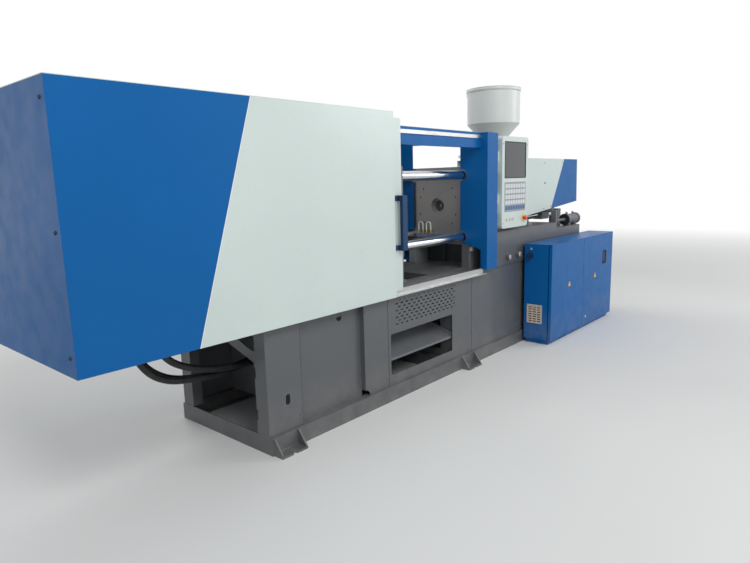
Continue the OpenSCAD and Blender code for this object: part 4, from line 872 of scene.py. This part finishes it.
def cabinet_trim():
    signs = (
        (CABINET_X, -0.521, 0.838, (-1, 0, 0), "frame", 0.018),
        (1.018, DOOR_Y, 0.489, (0, -1, 0), "door_left", 0.040),
        (1.627, DOOR_Y, 0.484, (0, -1, 0), "door_right", 0.040))
    for i, (x, y, z, normal, body, size) in enumerate(signs):
        bm = bmesh.new()
        triangle(bm, (x, y, z), normal, size, 1.0, 0.0004)
        piece(f"sign_border_{i}", bm, "black", body)
        bm = bmesh.new()
        triangle(bm, (x, y, z), normal, size, 0.82, 0.0007)
        piece(f"sign_face_{i}", bm, "yellow", body)

    bm = bmesh.new()
    place = frame_of((1.412, DOOR_Y, 0.116), (0, -1, 0))
    lathe(bm, [(0.011, 0.0), (0.011, 0.002), (0.009, 0.003), (0.0, 0.003)], place, 28)
    piece("door_lock", bm, "cream", "door_right")

    bm = bmesh.new()
    loop = rounded_loop((1.8185, 1.9015), (0.5785, 0.7115), 0.006, DOOR_Y - 0.0005)
    tube(bm, loop, 0.0025, 8, True)
    piece("latch_rim", bm, "black", "door_right")

    bm = bmesh.new()
    for z in (0.2, 0.5, 0.8):
        for x in (1.02, 1.70):
            socket_screw(bm, (x, -0.459, z), (0, 1, 0), 0.005)
    for y in (-0.623, -0.495):
        for z in (0.192, 0.342):
            socket_screw(bm, (0.635, y, z), (-1, 0, 0), 0.003)
    piece("cabinet_screws", bm, "nut", "frame")


# Studio


def make_world():
    world = bpy.data.worlds.new("studio")
    bpy.context.scene.world = world
    world.use_nodes = True
    tree = world.node_tree
    tree.nodes.clear()
    out = tree.nodes.new("ShaderNodeOutputWorld")
    path = tree.nodes.new("ShaderNodeLightPath")
    light = tree.nodes.new("ShaderNodeBackground")
    light.inputs["Color"].default_value = (0.96, 0.98, 1.0, 1.0)
    light.inputs["Strength"].default_value = 0.44
    seen = tree.nodes.new("ShaderNodeBackground")
    seen.inputs["Color"].default_value = (1.0, 1.0, 1.0, 1.0)
    seen.inputs["Strength"].default_value = 1.0
    either = path.outputs["Is Camera Ray"]
    for name in ("Is Glossy Ray", "Is Transmission Ray"):
        node = tree.nodes.new("ShaderNodeMath")
        node.operation = "MAXIMUM"
        tree.links.new(either, node.inputs[0])
        tree.links.new(path.outputs[name], node.inputs[1])
        either = node.outputs[0]
    mixer = tree.nodes.new("ShaderNodeMixShader")
    tree.links.new(either, mixer.inputs[0])
    tree.links.new(light.outputs[0], mixer.inputs[1])
    tree.links.new(seen.outputs[0], mixer.inputs[2])
    tree.links.new(mixer.outputs[0], out.inputs["Surface"])


def make_floor():
    n = Nodes("studio_floor")
    far = n.add("ShaderNodeVectorMath", operation="LENGTH")
    n.link(n.coord["Object"], far.inputs[0])
    fade = n.span(far.outputs["Value"], 0.0, 1.0, 5.0, 13.0)
    path = n.add("ShaderNodeLightPath")
    seen = n.math(
        "MAXIMUM", path.outputs["Is Camera Ray"],
        n.math("MAXIMUM", path.outputs["Is Glossy Ray"], path.outputs["Is Transmission Ray"]))
    diffuse = n.add("ShaderNodeBsdfDiffuse")
    n.put(n.mix(n.noise(0.8, 3.0), (0.80, 0.80, 0.79), (0.84, 0.84, 0.83)), diffuse.inputs["Color"])
    glow = n.add("ShaderNodeEmission")
    glow.inputs["Strength"].default_value = 1.0
    mixer = n.add("ShaderNodeMixShader")
    n.link(n.math("MULTIPLY", fade, seen), mixer.inputs[0])
    n.link(diffuse.outputs[0], mixer.inputs[1])
    n.link(glow.outputs[0], mixer.inputs[2])
    n.link(mixer.outputs[0], n.out.inputs["Surface"])
    bm = bmesh.new()
    bmesh.ops.create_grid(bm, x_segments=1, y_segments=1, size=60.0)
    mesh = bpy.data.meshes.new("studio_floor")
    bm.to_mesh(mesh)
    bm.free()
    obj = bpy.data.objects.new("studio_floor", mesh)
    mesh.materials.append(n.mat)
    bpy.context.scene.collection.objects.link(obj)


def lamp(name, place, target, power, size):
    data = bpy.data.lights.new(name, "AREA")
    data.energy = power
    data.shape = "DISK"
    data.size = size
    obj = bpy.data.objects.new(name, data)
    ahead = (Vector(target) - Vector(place)).normalized()
    obj.matrix_world = Matrix.Translation(place) @ ahead.to_track_quat("-Z", "Y").to_matrix().to_4x4()
    bpy.context.scene.collection.objects.link(obj)


def make_studio():
    make_world()
    make_floor()
    lamp("key", (-3.5, -6.5, 6.0), (-0.8, 0, 0.9), 300.0, 4.0)
    lamp("fill", (5.5, -5.5, 4.0), (0.5, 0, 0.8), 120.0, 4.0)
    lamp("back", (0.0, 6.0, 6.0), (-0.5, 0, 1.0), 180.0, 4.0)


make_camera()
dress_nodes()
housing_trim()
guard_trim()
window_seals()
gate_fittings()
base_trim()
bed_fittings()
hoses()
clamp_fittings()
seat_trim()
heater_trim()
cover_trim()
hopper_trim()
panel_trim()
cabinet_trim()
make_studio()

bpy.context.scene.view_settings.view_transform = "Standard"
